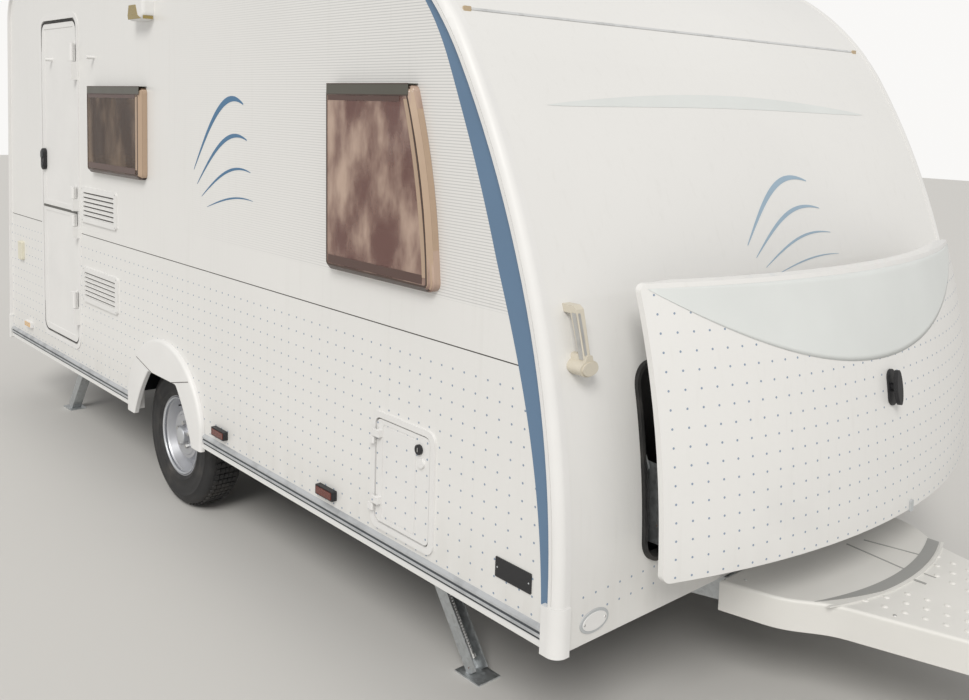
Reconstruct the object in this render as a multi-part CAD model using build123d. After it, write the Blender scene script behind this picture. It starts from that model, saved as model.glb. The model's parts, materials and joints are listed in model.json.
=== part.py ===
"""Travel caravan, parked with its steadies and jockey wheel down.

+X points to the drawbar, +Y to the left side and +Z up. The door is on the right side, at -Y.
The floor that the caravan stands on is Z = 0. All sizes are in millimetres.
"""
from math import asin, atan2, cos, degrees, pi, radians, sin, tan
import os

from build123d import *

# Driving dimensions of the body
BODY_LENGTH = 4700
BODY_WIDTH = 2470
BODY_HEIGHT = 2190
SKIRT_Z = 389
WALL_T = 30
TRIM_WIDTH = 38
TRIM_PROUD = 15
PANEL_INSET = 3
BELT_Z = 1157
REAR_LEAN = 65
REAR_CORNER_DROP = 270
SEAM_Z = 2171
FLOOR_Z = 450
FLOOR_T = 40

# Driving dimensions of the running gear
TYRE_RADIUS = 325
TYRE_WIDTH = 185
RIM_RADIUS = 190
WHEEL_RECESS = 55
AXLE_BACK = 2470

# Driving dimensions of the drawbar
COUPLING_REACH = 1325
COUPLING_Z = 430
DRAWBAR_TOP_Z = 389
COVER_T = 4

# Driving dimensions of the gas locker and its lid
LOCKER_WIDTH = 1790
LOCKER_LOW_Z = 550
LOCKER_HIGH_Z = 1140
LID_WIDTH = 1946
LID_BULGE = 175
LID_T = 18
LID_ARM = 270
LID_OPEN_DEG = 25

# Clearances
GAP = 5
SEAT = 0.3

# Places worked out from the driving dimensions
FRONT_X = 1705
REAR_X = FRONT_X - BODY_LENGTH
AXLE_X = FRONT_X - AXLE_BACK
HALF = BODY_WIDTH / 2
PANEL_HALF = HALF - WALL_T - GAP
TRIM_FACE = HALF + TRIM_PROUD
ROOF_Z = SKIRT_Z + BODY_HEIGHT
CAP_H = 130
DOOR_REAR_X = REAR_X + 615

# Front outline: distance behind the front face and height, as shares of the body height
FRONT_CURVE = [
    (0.0562, 0.4347),
    (0.1986, 0.7489),
    (0.3836, 0.9279),
    (0.6566, 1.0),
]
NOSE_SHARE = 0.0685


def block(x_low, x_high, y_low, y_high, z_low, z_high):
    """A box between two places on each axis."""
    size = (x_high - x_low, y_high - y_low, z_high - z_low)
    centre = Pos((x_low + x_high) / 2, (y_low + y_high) / 2, (z_low + z_high) / 2)
    return centre * Box(*size)


def slab(face, y_low, y_high):
    """A face drawn in X and Z, made solid between two places on Y."""
    return extrude(Plane.XZ.offset(-y_high) * face, y_high - y_low)


def plate(face, z_low, z_high):
    """A face drawn in X and Y, made solid between two heights."""
    return extrude(Plane.XY.offset(z_low) * face, z_high - z_low)


def rod(start, end, radius):
    """A round bar between two points."""
    run = Vector(*end) - Vector(*start)
    return extrude(Plane(origin=start, z_dir=run) * Circle(radius), run.length)


def pair(shape):
    """The shape on the right side and its mirror image on the left."""
    return Compound(children=[shape, shape.mirror(Plane.XZ)])


def solids_of(*shapes):
    """One compound with the solids of several shapes."""
    return Compound(children=[solid for shape in shapes for solid in shape.solids()])


def rounded(x_low, x_high, z_low, z_high, radius):
    """A rectangle with round corners, drawn in X and Z."""
    centre = Pos((x_low + x_high) / 2, (z_low + z_high) / 2)
    return centre * RectangleRounded(x_high - x_low, z_high - z_low, radius)


# Body shell

def rear_lean():
    """The rear wall's lean from upright, in radians."""
    return atan2(REAR_LEAN, BODY_HEIGHT - REAR_CORNER_DROP)


def body_face(inset=0):
    """The body's side outline, moved inwards and open-ended below the skirt."""
    below = SKIRT_Z - 400
    point = (FRONT_X, SKIRT_Z + NOSE_SHARE * BODY_HEIGHT)
    rear_foot = (REAR_X - (SKIRT_Z - below) * tan(rear_lean()), below)
    edges = [Line(rear_foot, (FRONT_X, below)), Line((FRONT_X, below), point)]
    heading = (0, 1)
    for back, share in FRONT_CURVE:
        end = (FRONT_X - back * BODY_HEIGHT, SKIRT_Z + share * BODY_HEIGHT)
        edges.append(TangentArc(point, end, tangent=heading))
        heading = edges[-1] % 1
        point = end
    lean = rear_lean()
    corner = (REAR_X + REAR_LEAN, ROOF_Z - REAR_CORNER_DROP)
    roof_end = (corner[0] + REAR_CORNER_DROP / tan(pi / 4 - lean / 2), ROOF_Z)
    edges.append(Line(point, roof_end))
    edges.append(TangentArc(roof_end, corner, tangent=(-1, 0)))
    edges.append(Line(corner, rear_foot))
    face = make_face(edges)
    if inset:
        face = offset(face, -inset, kind=Kind.INTERSECTION)
    return face


def above(z):
    """A rectangle that covers everything above a height."""
    return Pos(0, z + 2000) * Rectangle(12000, 4000)


def shell_band(inset, thickness):
    """The closed band between two insets of the body's outline, above the skirt's edge."""
    return (body_face(inset) - body_face(inset + thickness)) & above(SKIRT_Z)


def front_zone():
    """The part of the outline that the front wall takes."""
    return Pos(FRONT_X - 500, (SKIRT_Z + SEAM_Z) / 2) * Rectangle(1200, SEAM_Z - SKIRT_Z)


def rear_zone():
    """The part of the outline that the rear wall takes."""
    top = ROOF_Z - REAR_CORNER_DROP
    return Pos(REAR_X + 150, (SKIRT_Z + top) / 2) * Rectangle(400, top - SKIRT_Z)


def locker_opening():
    """The gas locker's opening as a solid cutter through the front wall."""
    centre_z = (LOCKER_LOW_Z + LOCKER_HIGH_Z) / 2
    hole = Pos(0, centre_z) * RectangleRounded(LOCKER_WIDTH, LOCKER_HIGH_Z - LOCKER_LOW_Z, 70)
    return extrude(Plane.YZ.offset(FRONT_X - 500) * hole, 700)


def front_wall():
    """The flat-fronted panel from the skirt up to the seam, with the locker's opening."""
    return slab(shell_band(PANEL_INSET, WALL_T) & front_zone(), -PANEL_HALF, PANEL_HALF) - locker_opening()


def rear_wall():
    """The rear panel with its window opening."""
    wall = slab(shell_band(PANEL_INSET, WALL_T) & rear_zone(), -PANEL_HALF, PANEL_HALF)
    hole = Pos(0, REAR_WINDOW_Z) * RectangleRounded(REAR_WINDOW_W - 60, REAR_WINDOW_H - 60, 50)
    return wall - extrude(Plane.YZ.offset(REAR_X - 100) * hole, 300)


def roof_panel():
    """The roof sheet, from the seam on the front over the top to the rear wall."""
    band = shell_band(PANEL_INSET, WALL_T) - front_zone() - rear_zone()
    roof = slab(band & above(SEAM_Z - 400), -PANEL_HALF, PANEL_HALF)
    for share, size_x, size_y in ROOF_HATCHES:
        x_place = FRONT_X - share * BODY_LENGTH
        roof -= block(x_place - size_x / 2, x_place + size_x / 2,
                      -size_y / 2, size_y / 2, ROOF_Z - 100, ROOF_Z + 10)
    return roof


# Windows: rear and front edge at the bottom and top, and the two heights
SIDE_WINDOWS_X = {
    "front": (FRONT_X - 1125, FRONT_X - 541, FRONT_X - 1140, FRONT_X - 671),
    "middle": (FRONT_X - 3303, FRONT_X - 2658, FRONT_X - 3303, FRONT_X - 2658),
    "rear": (REAR_X + 500, REAR_X + 1250, REAR_X + 500, REAR_X + 1250),
}
SIDE_WINDOWS_Z = {"front": (1307, 1935), "middle": (1497, 1923), "rear": (1400, 1923)}
RIGHT_WINDOWS = ["front", "middle"]
LEFT_WINDOWS = ["front", "rear"]
REAR_WINDOW_W = 1300
REAR_WINDOW_H = 520
REAR_WINDOW_Z = 1680
WINDOW_PROUD = 38
PANE_T = 5

# Roof hatches: place along the roof as a share of the length, size along X, size along Y
ROOF_HATCHES = [
    (0.4468, 500, 700),
    (0.766, 400, 400),
]


def window_face(name, margin=0):
    """A side window's outline in X and Z, with a bowed front edge on the front one."""
    low_rear, low_front, high_rear, high_front = SIDE_WINDOWS_X[name]
    z_low, z_high = SIDE_WINDOWS_Z[name]
    bow = 22 if name == "front" else 0.5
    middle = ((low_front + high_front) / 2 + bow, (z_low + z_high) / 2)
    edges = [
        Line((low_rear, z_low), (low_front, z_low)),
        ThreePointArc((low_front, z_low), middle, (high_front, z_high)),
        Line((high_front, z_high), (high_rear, z_high)),
        Line((high_rear, z_high), (low_rear, z_low)),
    ]
    face = make_face(edges)
    face = fillet(face.vertices(), 28)
    if margin:
        face = offset(face, -margin, kind=Kind.INTERSECTION)
    return face


def pane(face, plane):
    """An acrylic window: a dish whose rim stands on the wall, from a face and its wall plane."""
    outer = extrude(plane * face, WINDOW_PROUD)
    front = outer.faces().sort_by(Axis(plane.origin, plane.z_dir))[-1]
    outer = chamfer(front.edges(), 14)
    hollow = extrude(plane * offset(face, -PANE_T, kind=Kind.INTERSECTION), WINDOW_PROUD - PANE_T)
    return outer - hollow


def window_panes():
    """All the tinted acrylic windows."""
    right = Plane.XZ.offset(HALF)
    panes = [pane(window_face(name), right) for name in RIGHT_WINDOWS]
    panes += [pane(window_face(name), right).mirror(Plane.XZ) for name in LEFT_WINDOWS]
    panes.append(pane(rear_window_face(), rear_plane()))
    return solids_of(*panes)


def rear_plane():
    """The rear wall's outer face, as a plane that points backwards."""
    lean = rear_lean()
    height = REAR_WINDOW_Z - SKIRT_Z
    x_place = REAR_X + height * tan(lean) + PANEL_INSET / cos(lean)
    return Plane(origin=(x_place, 0, REAR_WINDOW_Z), x_dir=(0, -1, 0), z_dir=(-cos(lean), 0, sin(lean)))


def rear_window_face():
    """The rear window's outline about its middle."""
    return RectangleRounded(REAR_WINDOW_W, REAR_WINDOW_H, 45)


RAIL_H = 24


def window_rails():
    """The hinge rail over the top edge of each side window and the rear window."""
    rails = []
    for side, names in ((-1, RIGHT_WINDOWS), (1, LEFT_WINDOWS)):
        for name in names:
            x_low, x_high = SIDE_WINDOWS_X[name][2:]
            z_high = SIDE_WINDOWS_Z[name][1]
            y_places = sorted((side * HALF, side * (HALF + 20)))
            rails.append(block(x_low + 10, x_high - 5, *y_places, z_high + SEAT, z_high + RAIL_H))
    rear = Pos(0, REAR_WINDOW_H / 2 + RAIL_H / 2 + SEAT) * Rectangle(REAR_WINDOW_W - 40, RAIL_H)
    rails.append(extrude(rear_plane() * rear, 20))
    return solids_of(*rails)


# Door: two leaves in one frame, hinged on their front edge
DOOR_W = 580
DOOR_LOW_Z = 519
DOOR_HIGH_Z = 2309
DOOR_SPLIT_Z = 1265
DOOR_CORNER = 75
FRAME_W = 26
HINGE_OUT = 27
HINGE_R = 9
CATCH_AHEAD = 190
CATCH_Z = 2070
# Height of the middle of each hinge, its own height, which leaf it carries
DOOR_HINGES = [(752, 176, "lower"), (1192, 126, "lower"), (1338, 126, "upper"), (2055, 190, "upper")]
DOOR_FRAME_FACE = -(HALF + 4)


def door_face(margin):
    """The doorway's outline in X and Z, moved inwards."""
    return rounded(DOOR_REAR_X + margin, DOOR_REAR_X + DOOR_W - margin,
                   DOOR_LOW_Z + margin, DOOR_HIGH_Z - margin, DOOR_CORNER - margin)


def hinge_axis_place():
    """X and Y of the door's hinge axis."""
    return DOOR_REAR_X + DOOR_W - FRAME_W + GAP / 2, -(HALF + HINGE_OUT)


def fixed_knuckle(axis, z_mid, height, radius, way):
    """A hinge's fixed half: barrel, pin and a lug to the frame, which lies way along X."""
    x_axis, y_axis = axis
    low, high = z_mid - height / 2, z_mid - GAP / 2
    barrel = rod((x_axis, y_axis, low), (x_axis, y_axis, high), radius)
    pin = rod((x_axis, y_axis, low), (x_axis, y_axis, z_mid + height / 2 - 2), radius / 2)
    x_places = sorted((x_axis, x_axis + way * 18))
    return barrel + pin + block(*x_places, y_axis - radius, -HALF, low, high)


def moving_knuckle(axis, z_mid, height, radius, way, frame_face):
    """A hinge's moving half: a barrel round the pin and a cranked lug over the frame to the leaf."""
    x_axis, y_axis = axis
    low, high = z_mid + GAP / 2, z_mid + height / 2
    barrel = rod((x_axis, y_axis, low), (x_axis, y_axis, high), radius)
    lug = block(*sorted((x_axis, x_axis - way * 34)), y_axis - radius, frame_face - GAP, low, high)
    foot = block(*sorted((x_axis - way * 14, x_axis - way * 34)), y_axis, -(HALF - 4), low, high)
    return (barrel + lug + foot) - rod((x_axis, y_axis, low), (x_axis, y_axis, high), radius / 2 + SEAT)


def door_frame():
    """The frame in the wall and the frame's halves of the hinges."""
    frame = slab(door_face(0) - door_face(FRAME_W), DOOR_FRAME_FACE, -(HALF - WALL_T))
    for z_mid, height, leaf in DOOR_HINGES:
        frame += fixed_knuckle(hinge_axis_place(), z_mid, height, HINGE_R, 1)
    return frame


def door_leaf(part):
    """One leaf of the stable door, as thick as the wall, with its halves of the hinges."""
    shape = slab(door_face(FRAME_W + GAP), -(HALF + 2), -(HALF - WALL_T))
    if part == "lower":
        shape &= block(REAR_X, FRONT_X, -2000, 0, 0, DOOR_SPLIT_Z - GAP / 2)
    else:
        shape &= block(REAR_X, FRONT_X, -2000, 0, DOOR_SPLIT_Z + GAP / 2, 4000)
    inner = door_face(FRAME_W + 45)
    inner &= below_split() if part == "lower" else above_split()
    shape -= slab(inner, -(HALF + 2), -(HALF - 1))
    for z_mid, height, leaf in DOOR_HINGES:
        if leaf == part:
            shape += moving_knuckle(hinge_axis_place(), z_mid, height, HINGE_R, 1, DOOR_FRAME_FACE)
    if part == "upper":
        x_catch = DOOR_REAR_X + CATCH_AHEAD
        shape += door_handle() + rod((x_catch, -(HALF - 6), CATCH_Z), (x_catch, -(HALF + 38), CATCH_Z), 9)
    return shape


def below_split():
    """The zone of the lower leaf's raised field."""
    return Pos(0, DOOR_SPLIT_Z - 30 - 1000) * Rectangle(12000, 2000)


def above_split():
    """The zone of the upper leaf's raised field."""
    return Pos(0, DOOR_SPLIT_Z + 30 + 1000) * Rectangle(12000, 2000)


def door_handle():
    """The oval handle plate near the leaf's rear edge."""
    x_place = DOOR_REAR_X + FRAME_W + GAP + 32
    oval = Pos(x_place, DOOR_SPLIT_Z + 256) * SlotOverall(116, 46, rotation=90)
    return slab(oval, -(HALF + 18), -(HALF - 4))


# Service flap under the front window
FLAP_REAR_X = FRONT_X - 870
FLAP_W = 327
FLAP_LOW_Z = 469
FLAP_H = 398
FLAP_FRAME = 20
FLAP_FRAME_FACE = -(HALF + 8)
FLAP_HINGES = (FLAP_LOW_Z + 85, FLAP_LOW_Z + 313)
FLAP_HINGE_H = 50
FLAP_HINGE_R = 5


def flap_face(margin):
    """The flap's outline in X and Z, moved inwards."""
    return rounded(FLAP_REAR_X + margin, FLAP_REAR_X + FLAP_W - margin,
                   FLAP_LOW_Z + margin, FLAP_LOW_Z + FLAP_H - margin, 34 - margin / 2)


def flap_frame():
    """The frame round the service flap, with the fixed halves of its hinges."""
    frame = slab(flap_face(0) - flap_face(FLAP_FRAME), FLAP_FRAME_FACE, -(HALF - WALL_T))
    for z_mid in FLAP_HINGES:
        frame += fixed_knuckle(flap_axis_place(), z_mid, FLAP_HINGE_H, FLAP_HINGE_R, -1)
    return frame


def flap_axis_place():
    """X and Y of the flap's hinge axis, at its rear edge."""
    return FLAP_REAR_X + FLAP_FRAME + GAP / 2, FLAP_FRAME_FACE - GAP - FLAP_HINGE_R


def service_flap():
    """The flap's panel with its lock."""
    panel = slab(flap_face(FLAP_FRAME + GAP), -(HALF + 5), -(HALF - WALL_T))
    x_rear = FLAP_REAR_X + 58
    x_front = FLAP_REAR_X + FLAP_W - 92
    field = rounded(x_rear, x_front, FLAP_LOW_Z + 40, FLAP_LOW_Z + FLAP_H - 40, 12)
    panel -= slab(field - offset(field, -4), -(HALF + 6), -(HALF + 3))
    lock = Pos(FLAP_REAR_X + FLAP_W - 62, FLAP_LOW_Z + FLAP_H * 0.72) * Circle(15)
    flap = panel + slab(lock, -(HALF + 13), -HALF)
    for z_mid in FLAP_HINGES:
        flap += moving_knuckle(flap_axis_place(), z_mid, FLAP_HINGE_H, FLAP_HINGE_R, -1, FLAP_FRAME_FACE)
    return flap


# Side walls

def arch_face(half_width, top, low):
    """A wheel arch's outline about the axle's X: two legs and a round crown."""
    shoulder = SKIRT_Z + 95
    edges = [
        Line((AXLE_X - half_width, low), (AXLE_X + half_width, low)),
        Line((AXLE_X + half_width, low), (AXLE_X + half_width, shoulder)),
        ThreePointArc((AXLE_X + half_width, shoulder), (AXLE_X, top), (AXLE_X - half_width, shoulder)),
        Line((AXLE_X - half_width, shoulder), (AXLE_X - half_width, low)),
    ]
    return make_face(edges)


ARCH_OPEN_HALF = 300
ARCH_OPEN_TOP = SKIRT_Z + 300
ARCH_HALF = 385
ARCH_TOP = SKIRT_Z + 395
ARCH_PROUD = 40
ARCH_JOINT_Z = SKIRT_Z + 235


def side_wall(side):
    """One side panel with its windows, wheel arch, door and flap cut out."""
    face = body_face(TRIM_WIDTH) & above(SKIRT_Z)
    names = RIGHT_WINDOWS if side == "right" else LEFT_WINDOWS
    for name in names:
        face -= window_face(name, 30)
    face -= arch_face(ARCH_OPEN_HALF, ARCH_OPEN_TOP, 0)
    if side == "right":
        face -= door_face(0)
        face -= flap_face(0)
    wall = slab(face, -HALF, -(HALF - WALL_T))
    wall -= block(REAR_X - 100, FRONT_X + 100, -HALF - 1, -HALF + 1.5, BELT_Z - 2, BELT_Z + 2)
    if side == "left":
        wall = wall.mirror(Plane.XZ)
    return wall


TRIM_GROOVE = 24


def edge_trim(side):
    """The rounded profile that runs up the front, over the roof and down the rear."""
    band = (body_face(0) - body_face(TRIM_WIDTH)) & above(SKIRT_Z + CAP_H)
    trim = slab(band, -TRIM_FACE, -PANEL_HALF)
    outer = [edge for edge in trim.faces().sort_by(Axis.Y)[0].edges() if edge.length > 60]
    trim = fillet(longest_chain(outer), 30)
    groove = body_face(TRIM_GROOVE) - body_face(TRIM_GROOVE + 3)
    trim -= slab(groove & above(SKIRT_Z + CAP_H + 6), -TRIM_FACE - 1, -TRIM_FACE + 3)
    return trim if side == "right" else trim.mirror(Plane.XZ)


def longest_chain(edges):
    """The edges of the outer line: those that lie on the body's outline."""
    line = body_face(0).faces()[0].outer_wire()
    return [edge for edge in edges if line.distance_to(flat_point(edge)) < 0.5]


def flat_point(edge):
    """The middle of an edge, laid into the plane of the outline."""
    middle = edge @ 0.5
    return Vector(middle.X, middle.Z, 0)


def floor_panel():
    """The floor between the walls, with room for the wheel boxes."""
    floor = block(REAR_X + 40, FRONT_X - 40, -(HALF - WALL_T) + SEAT, HALF - WALL_T - SEAT,
                  FLOOR_Z, FLOOR_Z + FLOOR_T)
    for side in (-1, 1):
        y_places = sorted((side * (HALF - WALL_T), side * (BOX_INNER_Y - SEAT)))
        floor -= block(AXLE_X - BOX_HALF - SEAT, AXLE_X + BOX_HALF + SEAT, *y_places, FLOOR_Z - 1, 600)
    return floor


def corner_caps():
    """The rounded cap under each end of the edge trims."""
    caps = []
    for x_face, inwards in ((FRONT_X, -1), (REAR_X, 1)):
        x_places = sorted((x_face + 4 * -inwards, x_face + inwards * 60))
        cap = block(*x_places, -TRIM_FACE - 3, -PANEL_HALF, SKIRT_Z - 12, SKIRT_Z + CAP_H - SEAT)
        inner = sorted((x_face + inwards * TRIM_WIDTH, x_face + inwards * 70))
        cap -= block(*inner, -HALF - SEAT, 0, 0, 1000)
        outer = [edge for edge in cap.edges().filter_by(Axis.Z)
                 if abs(edge.center().Y + TRIM_FACE + 3) < 1 and abs(edge.center().X - x_face) < 6]
        cap = fillet(outer, 38)
        caps.append(pair(cap))
    return solids_of(*caps)


RAIL_Z_TOP = 62


def skirt_rails():
    """The ribbed aluminium rail along the lower edge of each side."""
    section = Polyline((HALF, 0), (HALF + 9, 0), (HALF + 9, 18), (HALF + 4, 20), (HALF + 4, 25),
                       (HALF + 12, 28), (HALF + 12, 36), (HALF + 8, 39), (HALF + 8, 43),
                       (HALF + 12, 46), (HALF + 12, 53), (HALF, RAIL_Z_TOP), close=True)
    face = make_face(Plane.YZ * section)
    runs = [(REAR_X + 60 + SEAT, AXLE_X - ARCH_HALF - SEAT),
            (AXLE_X + ARCH_HALF + SEAT, FRONT_X - 60 - SEAT)]
    rails = [extrude(Pos(x_low, 0, SKIRT_Z) * face, x_high - x_low, dir=(1, 0, 0))
             for x_low, x_high in runs]
    return solids_of(*[pair(rail) for rail in rails])


def wheel_arches():
    """The plastic arch over each wheel: a crown between a front and a rear leg."""
    band = arch_face(ARCH_HALF, ARCH_TOP, SKIRT_Z - 18) - arch_face(ARCH_OPEN_HALF, ARCH_OPEN_TOP, 0)
    arch = slab(band, -(HALF + ARCH_PROUD), -HALF)
    front = arch.faces().sort_by(Axis.Y)[0]
    arch = fillet(front.edges().filter_by(lambda edge: edge.length > 300), 14)
    face_y = -(HALF + ARCH_PROUD)
    x_rear = AXLE_X - ARCH_HALF
    x_front = AXLE_X + ARCH_HALF
    joint = block(x_rear, x_front, face_y - 1, face_y + 2, ARCH_JOINT_Z, ARCH_JOINT_Z + 3)
    return pair(arch - joint)


BOX_HALF = 380
BOX_TOP_Z = 745
BOX_INNER_Y = HALF - 280
BOX_T = 5


def wheel_boxes():
    """The inner box round each wheel, open below and towards the arch."""
    outer = block(AXLE_X - BOX_HALF, AXLE_X + BOX_HALF, -(HALF - WALL_T), -BOX_INNER_Y, FLOOR_Z, BOX_TOP_Z)
    inner = block(AXLE_X - BOX_HALF + BOX_T, AXLE_X + BOX_HALF - BOX_T,
                  -HALF, -(BOX_INNER_Y + BOX_T), 0, BOX_TOP_Z - BOX_T)
    return pair(outer - inner)


def roof_hatches():
    """The domed hatches on the roof."""
    hatches = []
    for share, size_x, size_y in ROOF_HATCHES:
        x_place = FRONT_X - share * BODY_LENGTH
        base = Pos(x_place, 0) * RectangleRounded(size_x + 60, size_y + 60, 45)
        low = ROOF_Z - PANEL_INSET
        shape = plate(base, low, low + 62)
        shape = fillet(shape.faces().sort_by(Axis.Z)[-1].edges(), 26)
        hollow = Pos(x_place, 0) * RectangleRounded(size_x, size_y, 25)
        hatches.append(shape - plate(hollow, low - 1, low + 52))
    return solids_of(*hatches)


# Fridge vents: rear edge, lower edge
VENTS = [(FRONT_X - 3460, 1225), (FRONT_X - 3450, 806)]
VENT_W = 450
VENT_H = 184
VENT_SLOTS = 6
VENT_PROUD = 10


def fridge_vents():
    """The two louvred vents beside the door."""
    vents = []
    for x_low, z_low in VENTS:
        outline = rounded(x_low, x_low + VENT_W, z_low, z_low + VENT_H, 16)
        frame = slab(outline, -(HALF + VENT_PROUD), -HALF)
        pitch = (VENT_H - 44) / VENT_SLOTS
        for slot in range(VENT_SLOTS):
            z_slot = z_low + 22 + pitch * (slot + 0.5)
            cut = rounded(x_low + 24, x_low + VENT_W - 24, z_slot - pitch * 0.28, z_slot + pitch * 0.28, 4)
            frame -= slab(cut, -(HALF + VENT_PROUD + 1), -(HALF + 2))
        vents.append(frame)
    return solids_of(*vents)


# Gas locker and its lid

LOCKER_DEPTH = 420
LOCKER_T = 12


def nose_arc():
    """The lowest arc of the front wall's outer face: X and Z of its centre and its radius."""
    back, share = FRONT_CURVE[0]
    rise = (share - NOSE_SHARE) * BODY_HEIGHT
    run = back * BODY_HEIGHT
    radius = (rise ** 2 + run ** 2) / (2 * run)
    return FRONT_X - radius, SKIRT_Z + NOSE_SHARE * BODY_HEIGHT, radius - PANEL_INSET


def wall_x(z):
    """X of the front wall's outer face at a height, on the lowest stretch of its curve."""
    x_centre, z_centre, radius = nose_arc()
    return x_centre + (radius ** 2 - max(z - z_centre, 0) ** 2) ** 0.5


def gas_locker():
    """The tray behind the front wall that the gas bottles stand in."""
    x_front = wall_x(LOCKER_HIGH_Z) - WALL_T - 12
    half = LOCKER_WIDTH / 2 + 25
    low, high = FLOOR_Z + FLOOR_T, LOCKER_HIGH_Z + 20
    outer = block(x_front - LOCKER_DEPTH, x_front, -half, half, low, high)
    inner = block(x_front - LOCKER_DEPTH + LOCKER_T, x_front + 1, -half + LOCKER_T, half - LOCKER_T,
                  low + LOCKER_T, high - LOCKER_T)
    tray = outer - inner
    for place in ARM_PIVOTS:
        x_pivot, z_pivot = arm_pivot(place)
        pin = rod((x_pivot, -half + 1, z_pivot), (x_pivot, -(ARM_Y - 3), z_pivot), ARM_PIN_R)
        boss = rod((x_pivot, -half + 1, z_pivot), (x_pivot, -(ARM_Y + ARM_T + GAP), z_pivot), 13)
        tray += pin + boss + (pin + boss).mirror(Plane.XZ)
    return tray


def locker_seal():
    """The rubber seal that stands round the locker's opening."""
    centre_z = (LOCKER_LOW_Z + LOCKER_HIGH_Z) / 2
    height = LOCKER_HIGH_Z - LOCKER_LOW_Z
    outer = Pos(0, centre_z) * RectangleRounded(LOCKER_WIDTH - 1, height - 1, 69.5)
    inner = Pos(0, centre_z) * RectangleRounded(LOCKER_WIDTH - 25, height - 25, 58)
    ring = extrude(Plane.YZ.offset(FRONT_X - 400) * (outer - inner), 600)
    return ring & slab(shell_band(-9, WALL_T + 9), -PANEL_HALF, PANEL_HALF)


def lid_section(inset):
    """The closed lid's plan at the nose's height: a band that bulges forwards between its ends."""
    x_centre, z_centre, radius = nose_arc()
    x_edge = x_centre + radius + LID_STAND
    half = LID_WIDTH / 2
    outer = ThreePointArc((x_edge, -half), (x_edge + LID_BULGE, 0), (x_edge, half))
    if not inset:
        return make_face([outer, Line((x_edge, half), (x_edge, -half))])
    inner = ThreePointArc((x_edge - inset, half), (x_edge + LID_BULGE - inset, 0), (x_edge - inset, -half))
    ends = [Line((x_edge, half), (x_edge - inset, half)), Line((x_edge - inset, -half), (x_edge, -half))]
    return make_face([outer, inner] + ends)


def lid_turned(face, z_low, z_high):
    """A plan of the lid, turned about the nose arc's centre line and cut at two heights."""
    x_centre, z_centre, radius = nose_arc()
    axis = Axis((x_centre, 0, z_centre), (0, 1, 0))
    start = Rot(0, 3, 0)
    turned = Pos(x_centre, 0, z_centre) * start * Pos(-x_centre, 0, 0) * face
    shape = revolve(turned, axis, -25)
    return shape & block(x_centre, FRONT_X + 1000, -LID_WIDTH, LID_WIDTH, z_low, z_high)


def lid_shift():
    """How far the lid stands forwards and upwards of its closed place."""
    angle = radians(LID_OPEN_DEG)
    return LID_ARM * sin(angle), LID_ARM * (1 - cos(angle))


LID_LOW_Z = 542
LID_HIGH_Z = 1368
LID_CORNER = 24
LID_STAND = LID_T + GAP + 1
LID_FLANGE = 14
LID_LIP = 45
LATCH_Z = 978
LATCH_H = 118
LATCH_W = 50


def locker_lid():
    """The curved lid, standing open ahead of the wall, with a lip along its top and bottom."""
    out, up = lid_shift()
    skin = lid_turned(lid_section(LID_T), LID_LOW_Z, LID_HIGH_Z)
    lip = lid_section(0) & lid_section(LID_LIP)
    for z_low in (LID_LOW_Z, LID_HIGH_Z - LID_FLANGE):
        skin += lid_turned(lip, z_low, z_low + LID_FLANGE)
    height = LID_HIGH_Z - LID_LOW_Z
    outline = Pos(0, LID_LOW_Z + height / 2) * RectangleRounded(LID_WIDTH, height, LID_CORNER)
    skin &= extrude(Plane.YZ.offset(FRONT_X - 500) * outline, 1200)
    return Pos(out, 0, up) * skin


def lid_latch():
    """The turning handle in the middle of the lid, on its oval plate."""
    x_centre, z_centre, radius = nose_arc()
    out, up = lid_shift()
    lean = asin((LATCH_Z - z_centre) / (radius + LID_STAND + LID_BULGE))
    reach = radius + LID_STAND + LID_BULGE + SEAT
    face = Plane(origin=(x_centre + out + reach * cos(lean), 0, z_centre + up + reach * sin(lean)),
                 x_dir=(0, 1, 0), z_dir=(cos(lean), 0, sin(lean)))
    plate_face = SlotOverall(LATCH_H, LATCH_W, rotation=90)
    handle = Ellipse(LATCH_W * 0.36, LATCH_H * 0.48)
    latch = extrude(face * plate_face, 6) + extrude(face * Circle(14), 24)
    return latch + extrude(face.offset(18) * handle, 14)


# Pivots of the upper and the lower arms: distance behind the wall at the opening's top, height
ARM_PIVOTS = ((90, LOCKER_HIGH_Z - 70), (150, LOCKER_HIGH_Z - 290))
ARM_Y = LOCKER_WIDTH / 2 - 60
ARM_T = 8
ARM_PIN_R = 5
ARM_HOLE_R = 5.5


def arm_pivot(place):
    """The arm's pivot inside the locker: X and Z."""
    behind, z_pivot = place
    return wall_x(LOCKER_HIGH_Z) - behind, z_pivot


def arm_end(place):
    """The arm's lower end, where the lid's bracket hangs on it: X and Z."""
    x_pivot, z_pivot = arm_pivot(place)
    angle = radians(LID_OPEN_DEG)
    return x_pivot + LID_ARM * sin(angle), z_pivot - LID_ARM * cos(angle)


def lid_arm(place):
    """One pair of arms, on both sides of the locker, from the pivot down to the lid."""
    x_pivot, z_pivot = arm_pivot(place)
    x_end, z_end = arm_end(place)
    centre = Pos((x_pivot + x_end) / 2, (z_pivot + z_end) / 2)
    bar = centre * SlotCenterToCenter(LID_ARM, 26, rotation=270 + LID_OPEN_DEG)
    for x_hole, z_hole in ((x_pivot, z_pivot), (x_end, z_end)):
        bar -= Pos(x_hole, z_hole) * Circle(ARM_HOLE_R)
    return pair(slab(bar, -(ARM_Y + ARM_T), -ARM_Y))


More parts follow.
